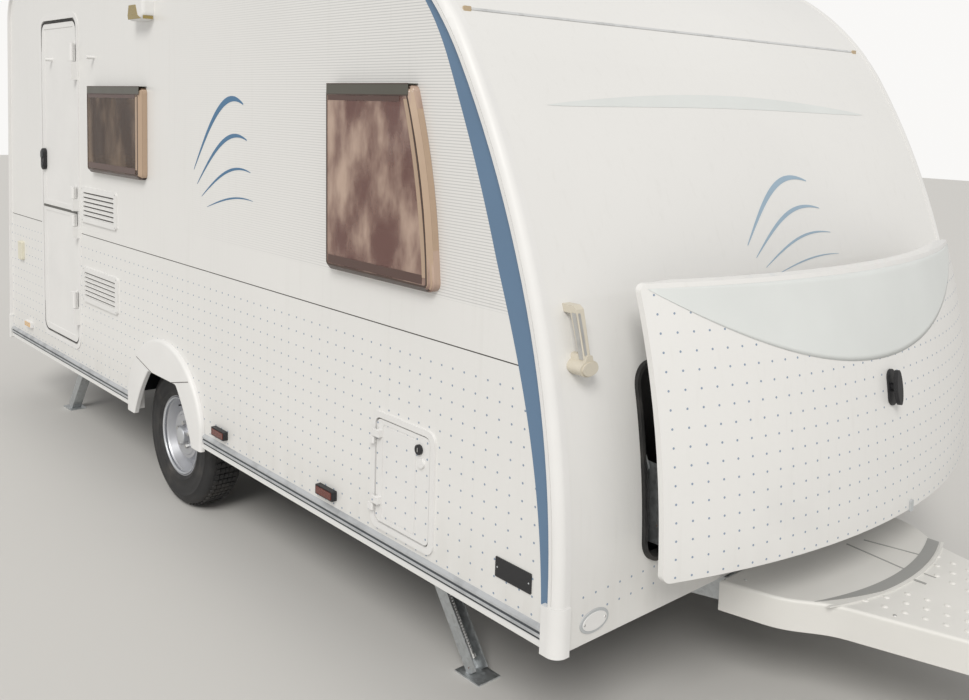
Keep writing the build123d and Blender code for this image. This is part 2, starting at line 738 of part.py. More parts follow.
def lid_back_x(y, z):
    """X of the open lid's back at a place across it and a height."""
    x_centre, z_centre, radius = nose_arc()
    out, up = lid_shift()
    half = LID_WIDTH / 2
    plan_radius = (half ** 2 + LID_BULGE ** 2) / (2 * LID_BULGE)
    bulge = LID_BULGE - plan_radius + (plan_radius ** 2 - y ** 2) ** 0.5
    reach = radius + LID_STAND + bulge - LID_T
    return x_centre + out + (reach ** 2 - (z - up - z_centre) ** 2) ** 0.5


def lid_brackets():
    """The strap on each side of the lid's back that carries it on the two arms."""
    ends = [arm_end(place) for place in ARM_PIVOTS]
    y_face = ARM_Y - GAP
    outline = [(lid_back_x(y_face, z_end) - SEAT, z_end) for x_end, z_end in ends]
    strap = make_hull((Pos(*ends[0]) * Circle(14)).edges() + (Pos(*ends[1]) * Circle(14)).edges()
                      + Polyline(*outline).edges())
    bracket = slab(strap, -y_face, -(y_face - 5))
    for x_end, z_end in ends:
        bracket += rod((x_end, -(y_face - 1), z_end), (x_end, -(ARM_Y + ARM_T + 3), z_end), ARM_PIN_R)
    return pair(bracket)


# Fittings

HANDLE_LOW_Z = 1168
HANDLE_HIGH_Z = 1322
HANDLE_Y = HALF - 105
HANDLE_STAND_OFF = 28
HANDLE_T = 22
HANDLE_W = 30


def grab_handles():
    """The manoeuvring handle on each side of the front: a flat bar with a round lamp at its foot."""
    low, high = HANDLE_LOW_Z, HANDLE_HIGH_Z
    out = HANDLE_STAND_OFF
    outer = Polyline((wall_x(high) - 20, high + 14), (wall_x(high) + out + 8, high + 14),
                     (wall_x(high) + out + HANDLE_T, high + 4), (wall_x(low) + out + HANDLE_T, low),
                     (wall_x(low) - 20, low), close=True)
    slot = Polyline((wall_x(high) - 40, high - 8), (wall_x(high) + out, high - 8),
                    (wall_x(low) + out, low + 30), (wall_x(low) - 40, low + 30), close=True)
    bar = slab(make_face(outer) - make_face(slot), -(HANDLE_Y + HANDLE_W / 2), -(HANDLE_Y - HANDLE_W / 2))
    foot = rod((wall_x(low) - 20, -HANDLE_Y, low), (wall_x(low) + out + HANDLE_T, -HANDLE_Y, low), 37)
    lens = rod((wall_x(low) + out + HANDLE_T, -HANDLE_Y, low),
               (wall_x(low) + out + HANDLE_T + 6, -HANDLE_Y, low), 31)
    return pair((bar + foot + lens) - slab(body_face(PANEL_INSET), -HALF, 0))


# Lamps on the sides: rear edge, lower edge, length
SIDE_REFLECTORS = [(AXLE_X + 484, 479), (AXLE_X + 1283, 479)]
REAR_LAMP_Y = HALF - 155
REAR_LAMP_Z = 780


def lamps():
    """The reflectors over the skirt rail, the side markers and the rear lamps."""
    pieces = []
    for x_low, z_low in SIDE_REFLECTORS:
        pieces.append(pair(block(x_low, x_low + 105, -(HALF + 20), -HALF, z_low, z_low + 32)))
    x_marker = REAR_X + 325
    pieces.append(pair(block(x_marker, x_marker + 100, -(HALF + 18), -HALF, 505, 537)))
    drop = (REAR_LAMP_Z - REAR_WINDOW_Z) / cos(rear_lean())
    for y_place in (-REAR_LAMP_Y, REAR_LAMP_Y):
        lamp = Pos(y_place, drop) * RectangleRounded(150, 330, 30)
        pieces.append(extrude(rear_plane() * lamp, 34))
    return solids_of(*pieces)


def side_fittings():
    """The awning lamp over the door, the socket box behind it and the door retainer."""
    lamp = slab(rounded(FRONT_X - 2785, FRONT_X - 2535, 2175, 2290, 30), -(HALF + 58), -HALF)
    lamp = fillet(lamp.faces().sort_by(Axis.Y)[0].edges(), 18)
    x_socket = REAR_X + 221
    socket = slab(rounded(x_socket, x_socket + 65, 895, 1002, 10), -(HALF + 16), -HALF)
    x_peg = DOOR_REAR_X + DOOR_W + 215
    peg = rod((x_peg, -HALF, CATCH_Z), (x_peg, -(HALF + 40), CATCH_Z), 9)
    return solids_of(lamp, socket, peg)


# Chassis

MEMBER_Y = HALF - 365
MEMBER_H = 140
MEMBER_W = 50
MEMBER_T = 5
TIP_X = FRONT_X + COUPLING_REACH - 330
TIP_TOP_Z = FLOOR_Z - MEMBER_H + 70
TIP_HALF = 90
BEND_BACK = 1124
HOUSING_L = 240
HOUSING_HALF = 48
TUBE_AHEAD = 160
TUBE_Z = 385
TUBE_R = 46
STUB_R = 20


def channel(length):
    """An upright channel section of a chassis member, lying along X from the origin, open to +Y."""
    section = Polyline((0, 0), (MEMBER_W, 0), (MEMBER_W, MEMBER_T), (MEMBER_T, MEMBER_T),
                       (MEMBER_T, MEMBER_H - MEMBER_T), (MEMBER_W, MEMBER_H - MEMBER_T),
                       (MEMBER_W, MEMBER_H), (0, MEMBER_H), close=True)
    return extrude(make_face(Plane.YZ * section), length, dir=(1, 0, 0))


def chassis_frame():
    """The two main members, the A-frame that runs on to the coupling and the cross members."""
    low = FLOOR_Z - MEMBER_H
    x_bend = FRONT_X - BEND_BACK
    rear_x = REAR_X + 120
    main = Pos(rear_x, -MEMBER_Y, low) * channel(x_bend - rear_x)
    run = Vector(TIP_X - x_bend, MEMBER_Y - TIP_HALF, 0)
    turn = degrees(atan2(run.Y, run.X))
    arm_low = low - 6
    arm = block(0, run.length, 0, MEMBER_W, arm_low, DRAWBAR_TOP_Z - COVER_T - SEAT)
    arm = Pos(x_bend, -MEMBER_Y, 0) * (Rot(0, 0, turn) * arm)
    arm &= block(x_bend, TIP_X, -2000, -HOUSING_HALF, 0, FLOOR_Z - SEAT)
    side = main + arm
    frame = side + side.mirror(Plane.XZ)
    for x_cross in (rear_x + 300, AXLE_X - 700, AXLE_X + 900):
        frame += block(x_cross, x_cross + 50, -MEMBER_Y + MEMBER_T, MEMBER_Y - MEMBER_T, low + 30, low + 90)
    frame += block(TIP_X - 260, TIP_X, -70, 70, low, TIP_TOP_Z)
    return frame - rod((AXLE_X + TUBE_AHEAD, -1500, TUBE_Z), (AXLE_X + TUBE_AHEAD, 1500, TUBE_Z), TUBE_R)


def axle():
    """The torsion axle tube with a trailing arm and a stub axle at each end."""
    x_tube = AXLE_X + TUBE_AHEAD
    y_tube = WHEEL_Y - 157
    y_arm = WHEEL_Y - 125
    tube = rod((x_tube, -y_tube, TUBE_Z), (x_tube, y_tube, TUBE_Z), TUBE_R - SEAT)
    arm_face = make_hull(
        (Pos(x_tube, TUBE_Z) * Circle(50)).edges() + (Pos(AXLE_X, TYRE_RADIUS) * Circle(42)).edges())
    arm = slab(arm_face, -y_arm, -y_tube)
    stub = rod((AXLE_X, -y_arm, TYRE_RADIUS), (AXLE_X, -(WHEEL_Y + 36), TYRE_RADIUS), STUB_R)
    plate_disc = rod((AXLE_X, -y_arm, TYRE_RADIUS), (AXLE_X, -(y_arm + 4), TYRE_RADIUS), 125)
    arms = arm + stub + plate_disc
    return tube + arms + arms.mirror(Plane.XZ)


# Road wheels

WHEEL_Y = HALF - WHEEL_RECESS - TYRE_WIDTH / 2


def tyre():
    """A road tyre about the Y axis at the origin."""
    half = TYRE_WIDTH / 2
    section = make_face(Polyline(
        (RIM_RADIUS + 1, -half + 22), (RIM_RADIUS + 12, -half + 8), (RIM_RADIUS + 60, -half),
        (TYRE_RADIUS - 36, -half + 6), (TYRE_RADIUS - 10, -half + 22), (TYRE_RADIUS, -half + 40),
        (TYRE_RADIUS, half - 40), (TYRE_RADIUS - 10, half - 22), (TYRE_RADIUS - 36, half - 6),
        (RIM_RADIUS + 60, half), (RIM_RADIUS + 1, half - 22),
        close=True))
    return revolve(section, Axis.Y)


def rim():
    """A pressed steel wheel about the Y axis: rim, dished disc, hub cap and brake drum."""
    half = TYRE_WIDTH / 2 - 14
    outer = make_face(Polyline(
        (RIM_RADIUS, -half), (RIM_RADIUS - 14, -half + 18), (RIM_RADIUS - 30, -10),
        (RIM_RADIUS - 30, half - 24), (RIM_RADIUS, half), (RIM_RADIUS - 8, half),
        (RIM_RADIUS - 38, half - 26), (RIM_RADIUS - 38, -4),
        (92, -52), (40, -52), (40, -74), (0, -74), (0, -40), (86, -40),
        (RIM_RADIUS - 38, -14), (RIM_RADIUS - 22, -half + 20), (RIM_RADIUS - 8, -half),
        close=True))
    bore = STUB_R + SEAT
    drum = make_face(Polyline((bore, -48), (110, -48), (125, -18), (125, 60), (112, 60), (112, -6),
                              (bore, -6), close=True))
    return revolve(outer, Axis.Y) + revolve(drum, Axis.Y)


def on_axle(shape, side):
    """A wheel's piece, moved to its place on the axle."""
    placed = Pos(AXLE_X, -WHEEL_Y, TYRE_RADIUS) * shape
    return placed if side == "right" else placed.mirror(Plane.XZ)


# Drawbar fittings

COUPLING_X = FRONT_X + COUPLING_REACH - 60


def overrun_device():
    """The cast housing on the A-frame's tip, its draw tube, hand brake lever and jockey clamp."""
    housing = block(TIP_X - HOUSING_L, TIP_X + 20, -HOUSING_HALF, HOUSING_HALF, TIP_TOP_Z, COUPLING_Z + 42)
    tube = rod((TIP_X - 200, 0, COUPLING_Z), (COUPLING_X - 90, 0, COUPLING_Z), 25)
    lever = rod((TIP_X - 60, 62, COUPLING_Z + 10), (TIP_X - 330, 62, COUPLING_Z + 190), 9)
    pivot = rod((TIP_X - 60, 40, COUPLING_Z + 10), (TIP_X - 60, 76, COUPLING_Z + 10), 22)
    arm = block(JOCKEY_X - 22, JOCKEY_X + 22, JOCKEY_Y, -40, DRAWBAR_TOP_Z + 5, COUPLING_Z + 20)
    sleeve = rod((JOCKEY_X, JOCKEY_Y, DRAWBAR_TOP_Z + 5), (JOCKEY_X, JOCKEY_Y, COUPLING_Z + 20),
                 JOCKEY_R + 9)
    bore = rod((JOCKEY_X, JOCKEY_Y, 0), (JOCKEY_X, JOCKEY_Y, 900), JOCKEY_R + 0.5)
    return housing + tube + lever + pivot + ((arm + sleeve) - bore)


JOCKEY_R = 24
JOCKEY_WHEEL_R = 100
JOCKEY_X = FRONT_X + COUPLING_REACH - 365
JOCKEY_Y = -200
JOCKEY_TRAIL = 45


def gaiter():
    """The rubber bellows on the draw tube."""
    x_low = TIP_X + 20 + SEAT
    x_high = COUPLING_X - 90
    folds = 5
    pitch = (x_high - x_low) / folds
    points = [(x_low, 25 + SEAT), (x_low, 34)]
    for fold in range(folds):
        points.append((x_low + pitch * (fold + 0.5), 44))
        points.append((x_low + pitch * (fold + 1), 34))
    points.append((x_high, 25 + SEAT))
    outline = make_face(Polyline(*points, close=True))
    return Pos(0, 0, COUPLING_Z) * revolve(outline, Axis.X)


def coupling_head():
    """The coupling head with its ball socket underneath and its lever on top."""
    x_low = COUPLING_X - 90
    body = block(x_low, COUPLING_X + 10, -34, 34, COUPLING_Z - 22, COUPLING_Z + 36)
    dome = rod((COUPLING_X, 0, COUPLING_Z - 22), (COUPLING_X, 0, COUPLING_Z + 34), 46)
    lever = rod((COUPLING_X - 60, 0, COUPLING_Z + 30), (COUPLING_X - 150, 0, COUPLING_Z + 92), 11)
    head = body + dome + lever
    head -= rod((COUPLING_X, 0, COUPLING_Z - 23), (COUPLING_X, 0, COUPLING_Z + 12), 25.5)
    return head - rod((x_low - 1, 0, COUPLING_Z), (x_low, 0, COUPLING_Z), 25)


# The drawbar cover's plan: place along X as a share of the reach, width outside the A-frame's arm
COVER_PLAN = [
    (0.003, 42),
    (0.147, 66),
    (0.2415, 15),
    (0.483, 34),
    (0.664, 48),
]


COVER_BEND_R = 240


def arm_y(x):
    """The outer face of the A-frame's arm at a place along X."""
    x_bend = FRONT_X - BEND_BACK
    return MEMBER_Y - (MEMBER_Y - TIP_HALF) * (x - x_bend) / (TIP_X - x_bend)


def cover_half():
    """The cover's corners on the left side: place along X, half width."""
    places = [(FRONT_X + share * COUPLING_REACH, margin) for share, margin in COVER_PLAN]
    return [(x, arm_y(x) + margin) for x, margin in places]


def cover_face(margin):
    """The drawbar cover's plan, moved inwards."""
    points = cover_half() + [(x, -y) for x, y in reversed(cover_half())]
    face = make_face(Polyline(*points, close=True))
    bends = [(x, side * y) for x, y in cover_half()[1:3] for side in (-1, 1)]
    face = fillet([corner for corner in face.vertices()
                   if any(abs(corner.X - x) + abs(corner.Y - y) < 1 for x, y in bends)], COVER_BEND_R)
    return offset(face, -margin, kind=Kind.INTERSECTION) if margin else face


def drawbar_cover():
    """The plastic cover over the A-frame, open underneath."""
    shape = plate(cover_face(0), DRAWBAR_TOP_Z - 100, DRAWBAR_TOP_Z)
    shape = fillet(shape.faces().sort_by(Axis.Z)[-1].edges(), 10)
    shape -= plate(cover_face(COVER_T), DRAWBAR_TOP_Z - 101, DRAWBAR_TOP_Z - COVER_T)
    for x_end, half in (cover_half()[0], cover_half()[-1]):
        shape -= block(x_end - 10, x_end + 10, -half + 12, half - 12, 0, DRAWBAR_TOP_Z - COVER_T)
    x_notch = TIP_X - HOUSING_L - 2
    return shape - block(x_notch, x_notch + 500, -HOUSING_HALF - 2, HOUSING_HALF + 2, 0, ROOF_Z)


def jockey_tube():
    """The jockey wheel's outer tube in its clamp, with the winding handle on top."""
    tube = rod((JOCKEY_X, JOCKEY_Y, 330), (JOCKEY_X, JOCKEY_Y, 700), JOCKEY_R)
    tube -= rod((JOCKEY_X, JOCKEY_Y, 329), (JOCKEY_X, JOCKEY_Y, 690), JOCKEY_R - 3)
    crank = rod((JOCKEY_X, JOCKEY_Y, 700), (JOCKEY_X, JOCKEY_Y, 730), 8)
    crank += rod((JOCKEY_X - 8, JOCKEY_Y, 726), (JOCKEY_X + 120, JOCKEY_Y, 726), 6)
    crank += rod((JOCKEY_X + 114, JOCKEY_Y, 720), (JOCKEY_X + 114, JOCKEY_Y, 800), 9)
    return tube + crank


FORK_CROWN_Z = 222
STEM_TOP_Z = 560


def jockey_fork():
    """The inner tube with the fork that holds the jockey wheel."""
    inner = rod((JOCKEY_X, JOCKEY_Y, FORK_CROWN_Z), (JOCKEY_X, JOCKEY_Y, STEM_TOP_Z), JOCKEY_R - 4)
    x_wheel = JOCKEY_X - JOCKEY_TRAIL
    bridge = block(JOCKEY_X - 62, JOCKEY_X + 24, JOCKEY_Y - 36, JOCKEY_Y + 36, 212, 224)
    fork = bridge
    for side in (-1, 1):
        y_mid = JOCKEY_Y + side * 33
        cheek = make_hull((Pos(x_wheel, JOCKEY_WHEEL_R) * Circle(16)).edges()
                          + (Pos(JOCKEY_X - 20, 214) * Rectangle(84, 8)).edges())
        fork += slab(cheek, y_mid - 3, y_mid + 3)
    pin = rod((x_wheel, JOCKEY_Y - 40, JOCKEY_WHEEL_R), (x_wheel, JOCKEY_Y + 40, JOCKEY_WHEEL_R), 8)
    return inner + fork + pin


def jockey_wheel():
    """The jockey wheel: a solid tyre on a plain centre."""
    half = 25
    section = Polyline((8.4, -half - 1), (34, -half - 1), (38, -half + 8), (62, -half + 8), (66, -half),
                       (JOCKEY_WHEEL_R - 8, -half), (JOCKEY_WHEEL_R, -half + 9),
                       (JOCKEY_WHEEL_R, half - 9), (JOCKEY_WHEEL_R - 8, half), (66, half),
                       (62, half - 8), (38, half - 8), (34, half + 1), (8.4, half + 1), close=True)
    wheel = revolve(make_face(section), Axis.Y)
    return Pos(JOCKEY_X - JOCKEY_TRAIL, JOCKEY_Y, JOCKEY_WHEEL_R) * wheel


# Corner steadies: pivot X, which way the foot points
STEADY_PIVOT_Z = 379
STEADY_Y = HALF - 215
STEADY_REACH = 277
STEADIES = {
    "front": (FRONT_X - 0.177 * BODY_LENGTH, 1),
    "rear": (FRONT_X - 0.837 * BODY_LENGTH, -1),
}
LEG_W = 54
LEG_T = 4


def steady_leg(end, side):
    """A channel leg that slants down to its foot."""
    x_pivot, way = STEADIES[end]
    run = (STEADY_REACH ** 2 + (STEADY_PIVOT_Z - 12) ** 2) ** 0.5
    angle = degrees(atan2(STEADY_REACH, STEADY_PIVOT_Z - 12))
    half = LEG_W / 2
    channel_leg = block(-26, 26, -half, half, -run, 14)
    channel_leg -= block(-26 + LEG_T, 40, -half + LEG_T, half - LEG_T, -run - 1, 20)
    channel_leg -= rod((0, -60, 0), (0, 60, 0), 6.5)
    leg = Rot(0, -angle, 0) * channel_leg
    leg &= block(-900, 900, -200, 200, -(STEADY_PIVOT_Z - 4), 200)
    foot = block(STEADY_REACH - 62, STEADY_REACH + 58, -48, 48, -STEADY_PIVOT_Z, -STEADY_PIVOT_Z + 5)
    shape = leg + foot
    if way < 0:
        shape = shape.mirror(Plane.YZ)
    y_place = -STEADY_Y if side == "right" else STEADY_Y
    return Pos(x_pivot, y_place, STEADY_PIVOT_Z) * shape


def steady_brackets():
    """The bracket under the floor that carries each steady, with its pivot pin."""
    pieces = []
    for x_pivot, way in STEADIES.values():
        half = LEG_W / 2
        for y_side in (-1, 1):
            y_mid = y_side * STEADY_Y
            cap = block(x_pivot - 45, x_pivot + 45, y_mid - half - 11, y_mid + half + 11,
                        FLOOR_Z - 6, FLOOR_Z)
            for cheek_side in (-1, 1):
                y_cheek = y_mid + cheek_side * (half + 8)
                cap += block(x_pivot - 24, x_pivot + 24, y_cheek - 3, y_cheek + 3,
                             STEADY_PIVOT_Z - 20, FLOOR_Z - 5)
            cap += rod((x_pivot, y_mid - half - 14, STEADY_PIVOT_Z),
                       (x_pivot, y_mid + half + 14, STEADY_PIVOT_Z), 6)
            pieces.append(cap)
    return solids_of(*pieces)


# Cabin furniture, seen through the windows

CABIN_FLOOR = FLOOR_Z + FLOOR_T
INNER_Y = HALF - WALL_T
BOARD_T = 15
CHEST_H = 380
CHEST_D = 620
CHEST_REAR_X = FRONT_X - 1880
CHEST_FRONT_X = FRONT_X - 560
WORKTOP_H = 880
WARDROBE_H = 1880


def cabinet(x_low, x_high, y_low, y_high, height):
    """A cabinet of thin boards on the cabin floor, open below."""
    outer = block(x_low, x_high, y_low, y_high, CABIN_FLOOR, CABIN_FLOOR + height)
    inner = block(x_low + BOARD_T, x_high - BOARD_T, y_low + BOARD_T, y_high - BOARD_T,
                  CABIN_FLOOR - 1, CABIN_FLOOR + height - BOARD_T)
    return outer - inner


def furniture():
    """Seat chests, table, kitchen block, wardrobe and bed base."""
    pieces = []
    wall = INNER_Y - SEAT
    chest = cabinet(CHEST_REAR_X, CHEST_FRONT_X, -wall, -INNER_Y + CHEST_D, CHEST_H)
    chest -= block(FLAP_REAR_X, FLAP_REAR_X + FLAP_W, -INNER_Y - 1, -INNER_Y + BOARD_T + 1,
                   CABIN_FLOOR - 1, CABIN_FLOOR + CHEST_H - BOARD_T)
    pieces += [chest, cabinet(CHEST_REAR_X, CHEST_FRONT_X, INNER_Y - CHEST_D, wall, CHEST_H)]
    table_top = block(FRONT_X - 1500, CHEST_FRONT_X, -330, 330, CABIN_FLOOR + 690, CABIN_FLOOR + 718)
    x_table = FRONT_X - 1060
    pieces.append(table_top + rod((x_table, 0, CABIN_FLOOR), (x_table, 0, CABIN_FLOOR + 700), 30))
    pieces.append(cabinet(FRONT_X - 3450, AXLE_X - BOX_HALF - 10, -wall, -INNER_Y + 540, WORKTOP_H))
    pieces.append(cabinet(AXLE_X - 350, AXLE_X + 250, INNER_Y - 640, INNER_Y - 260, WARDROBE_H))
    pieces.append(cabinet(REAR_X + 60, REAR_X + 1800, INNER_Y - 1350, wall, 380))
    return solids_of(*pieces)


def cushions():
    """Seat and back cushions of the front seats and the mattress."""
    pieces = []
    low = CABIN_FLOOR + CHEST_H
    seat = block(CHEST_REAR_X, CHEST_FRONT_X, -INNER_Y + 110, -INNER_Y + CHEST_D, low, low + 110)
    back = block(CHEST_REAR_X, CHEST_FRONT_X - 200, -INNER_Y + 5, -INNER_Y + 105, low, low + 400)
    pieces.append(pair(seat))
    pieces.append(pair(back))
    mattress = block(REAR_X + 70, REAR_X + 1795, INNER_Y - 1345, INNER_Y - 5, CABIN_FLOOR + 380,
                     CABIN_FLOOR + 500)
    pieces.append(mattress)
    return solids_of(*pieces)


# Export of every node

def nodes():
    """Every node's name and shape."""
    made = {
        "side_wall_right": side_wall("right"),
        "side_wall_left": side_wall("left"),
        "front_wall": front_wall(),
        "rear_wall": rear_wall(),
        "roof_panel": roof_panel(),
        "floor_panel": floor_panel(),
        "edge_trims": solids_of(edge_trim("right"), edge_trim("left")),
        "corner_caps": corner_caps(),
        "skirt_rails": skirt_rails(),
        "wheel_arches": wheel_arches(),
        "wheel_boxes": wheel_boxes(),
        "window_panes": window_panes(),
        "window_rails": window_rails(),
        "roof_hatches": roof_hatches(),
        "fridge_vents": fridge_vents(),
        "wall_frames": solids_of(door_frame(), flap_frame()),
        "door_lower": door_leaf("lower"),
        "door_upper": door_leaf("upper"),
        "service_flap": service_flap(),
        "gas_locker": gas_locker(),
        "locker_seal": locker_seal(),
        "locker_lid": locker_lid(),
        "lid_brackets": lid_brackets(),
        "lid_latch": lid_latch(),
        "lid_arms_upper": lid_arm(ARM_PIVOTS[0]),
        "lid_arms_lower": lid_arm(ARM_PIVOTS[1]),
        "grab_handles": grab_handles(),
        "lamps": lamps(),
        "side_fittings": side_fittings(),
        "chassis_frame": chassis_frame(),
        "axle": axle(),
        "overrun_device": overrun_device(),
        "gaiter": gaiter(),
        "coupling_head": coupling_head(),
        "drawbar_cover": drawbar_cover(),
        "jockey_tube": jockey_tube(),
        "jockey_fork": jockey_fork(),
        "jockey_wheel": jockey_wheel(),
        "steady_brackets": steady_brackets(),
        "furniture": furniture(),
        "cushions": cushions(),
    }
    for side in ("right", "left"):
        made["tyre_" + side] = on_axle(tyre(), side)
        made["rim_" + side] = on_axle(rim(), side)
    for end in STEADIES:
        for side in ("right", "left"):
            made["steady_" + end + "_" + side] = steady_leg(end, side)
    return made


os.makedirs("parts", exist_ok=True)
for node, shape in nodes().items():
    export_step(shape, "parts/" + node + ".step")
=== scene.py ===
"""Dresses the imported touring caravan: finishes, graphics, windows, wheels, soft goods and small fittings."""
import json
import math

import bmesh
import bpy
from bpy.props import FloatProperty, FloatVectorProperty, IntProperty, PointerProperty
from mathutils import Matrix, Vector
from mathutils.bvhtree import BVHTree


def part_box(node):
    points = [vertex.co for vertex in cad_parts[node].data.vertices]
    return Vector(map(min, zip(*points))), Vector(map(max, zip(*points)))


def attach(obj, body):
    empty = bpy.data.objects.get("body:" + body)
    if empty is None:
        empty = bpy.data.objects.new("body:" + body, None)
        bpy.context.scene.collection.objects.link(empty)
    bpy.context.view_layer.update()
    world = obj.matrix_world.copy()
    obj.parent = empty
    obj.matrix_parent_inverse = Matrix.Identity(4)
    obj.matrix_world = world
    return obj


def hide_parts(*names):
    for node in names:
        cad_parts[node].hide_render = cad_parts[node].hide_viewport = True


bl_info = {
    "name": "Touring Caravan Dressing",
    "version": (1, 0, 0),
    "blender": (4, 5, 0),
    "location": "3D View > Sidebar > Caravan",
    "description": "Finishes, graphics and small fittings of a touring caravan built on its CAD frame",
    "category": "Object",
}

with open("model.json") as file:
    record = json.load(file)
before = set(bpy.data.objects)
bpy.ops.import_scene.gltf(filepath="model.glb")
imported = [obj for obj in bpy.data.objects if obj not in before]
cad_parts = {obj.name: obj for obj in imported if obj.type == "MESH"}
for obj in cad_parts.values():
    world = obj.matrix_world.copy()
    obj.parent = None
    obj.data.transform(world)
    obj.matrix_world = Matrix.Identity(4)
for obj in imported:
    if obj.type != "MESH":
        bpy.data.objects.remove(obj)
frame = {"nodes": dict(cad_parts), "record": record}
NODES = frame["nodes"]
BODY_OF = {node: body for body, members in frame["record"]["behaviour"]["bodies"].items() for node in members}
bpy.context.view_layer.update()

SIDES = (("right", -1), ("left", 1))
# Places read from the frame, in metres
WALL_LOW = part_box("side_wall_right")[0]
SIDE_Y = -WALL_LOW.y
SKIRT_Z = WALL_LOW.z
TRIM_LOW, TRIM_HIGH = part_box("edge_trims")
REAR_X, FRONT_X, ROOF_Z = TRIM_LOW.x, TRIM_HIGH.x, TRIM_HIGH.z
BODY_H = ROOF_Z - SKIRT_Z
BELT_Z = 1.157
SEAM_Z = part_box("front_wall")[1].z
TRIM_W = 0.038
PANEL_INSET = 0.003
TYRE_LOW, TYRE_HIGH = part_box("tyre_right")
AXLE = Vector((TYRE_LOW + TYRE_HIGH) / 2)
COVER_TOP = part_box("drawbar_cover")[1].z

# Front outline: distance behind the front face, height as a share of the body height
NOSE_SHARE = 0.0685
FRONT_CURVE = ((0.123, 0.4347), (0.435, 0.7489), (0.840, 0.9279), (1.438, 1.0))
# Lid: its box, how far its plan bulges and half its width
LID_LOW, LID_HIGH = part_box("locker_lid")
LID_BULGE = 0.175
LID_HALF = (LID_HIGH.y - LID_LOW.y) / 2
# Thickness of what is printed on a face, and its distance from it
SKIN = 0.0004


# Node graphs


def arithmetic(operation, swapped=False):
    """A method that turns one of Python's operators into a Math node."""
    def method(self, other):
        values = (other, self) if swapped else (self, other)
        return self.math(operation, *values)
    return method


class Link:
    """A node's output that Python arithmetic turns into Math nodes."""

    def __init__(self, graph, socket):
        self.graph = graph
        self.socket = socket

    def math(self, operation, *values):
        """A Math node of this operation on the values."""
        return self.graph.add("ShaderNodeMath", {"operation": operation}, dict(enumerate(values)))

    def of(self, operation):
        """A Math node of this operation on the link itself."""
        return self.math(operation, self)

    def __abs__(self):
        return self.of("ABSOLUTE")

    __add__ = __radd__ = arithmetic("ADD")
    __mul__ = __rmul__ = arithmetic("MULTIPLY")
    __sub__ = arithmetic("SUBTRACT")
    __rsub__ = arithmetic("SUBTRACT", swapped=True)
    __truediv__ = arithmetic("DIVIDE")

    def smooth(self, low, high):
        """0 below low, 1 above high and a smooth step between them."""
        return self.graph.add("ShaderNodeMapRange", {"interpolation_type": "SMOOTHSTEP"},
                              {"Value": self, "From Min": low, "From Max": high})

    def between(self, low, high, soft):
        """1 between two values and 0 outside, with soft edges."""
        return self.smooth(low - soft, low + soft) * (1 - self.smooth(high - soft, high + soft))


class Graph:
    """A shader or geometry tree that grows by one call per node."""

    def __init__(self, tree):
        self.tree = tree

    def add(self, kind, settings=None, inputs=None, output=0):
        """A node of this kind with its settings, a curve's points among them, and its sockets' values."""
        node = self.tree.nodes.new(kind)
        for key, value in (settings or {}).items():
            if key == "curve":
                points = node.mapping.curves[0].points
                while len(points) < len(value):
                    points.new(0.5, 0.5)
                for point, place in zip(points, value):
                    point.location = place
                node.mapping.update()
            else:
                setattr(node, key, value)
        for key, value in (inputs or {}).items():
            socket = node.inputs[key]
            if isinstance(value, Link):
                self.tree.links.new(value.socket, socket)
            elif isinstance(value, tuple) and len(value) == 3 and socket.type == "RGBA":
                socket.default_value = (*value, 1)
            else:
                socket.default_value = value
        return Link(self, node.outputs[output]) if len(node.outputs) else None


class Finish(Graph):
    """A material on the Principled shader, with Object coordinates at hand."""

    def __init__(self, name, colour, metallic=0.0, coat=0.0):
        self.material = bpy.data.materials.new(name)
        self.material.use_nodes = True
        super().__init__(self.material.node_tree)
        self.shader = self.tree.nodes["Principled BSDF"]
        self.colour = colour
        self.set("Base Color", (*colour, 1))
        self.set("Metallic", metallic)
        self.set("Coat Weight", coat)
        self.place = self.add("ShaderNodeTexCoord", output=3)

    def set(self, name, value):
        """Gives one of the shader's sockets its value or link."""
        socket = self.shader.inputs[name]
        if isinstance(value, Link):
            self.tree.links.new(value.socket, socket)
        else:
            socket.default_value = value

    def parts(self, vector=None):
        """The three numbers of a vector, or of the place on the object."""
        node = self.add("ShaderNodeSeparateXYZ", {}, {0: vector or self.place}).socket.node
        return [Link(self, socket) for socket in node.outputs]

    def mix(self, factor, low, high):
        """A colour between two colours."""
        return self.add("ShaderNodeMix", {"data_type": "RGBA"}, {0: factor, 6: low, 7: high}, output=2)

    def noise(self, scale, detail, roughness=0.5, stretch=None):
        """Noise from 0 to 1 over the object, finer by stretch along each axis."""
        place = self.place
        if stretch:
            place = self.add("ShaderNodeVectorMath", {"operation": "MULTIPLY"}, {0: place, 1: stretch})
        return self.add("ShaderNodeTexNoise", {}, {"Vector": place, "Scale": scale, "Detail": detail,
                                                   "Roughness": roughness})

    def bump(self, height, strength, distance):
        """Relief from a height between 0 and 1, distance metres deep."""
        self.set("Normal", self.add("ShaderNodeBump", {}, {"Strength": strength, "Distance": distance,
                                                            "Height": height}))


def toned(finish, share):
    """The finish's colour, made darker or lighter by a share."""
    return tuple(min(1, channel * share) for channel in finish.colour)


def varied(finish, low_share, scale):
    """Colour that drifts between a darker share of itself and itself."""
    drift = finish.noise(scale, 3).smooth(0.2, 0.8)
    return finish.mix(drift, toned(finish, low_share), finish.colour)


FILM_COLOUR = (0.46, 0.44, 0.39)


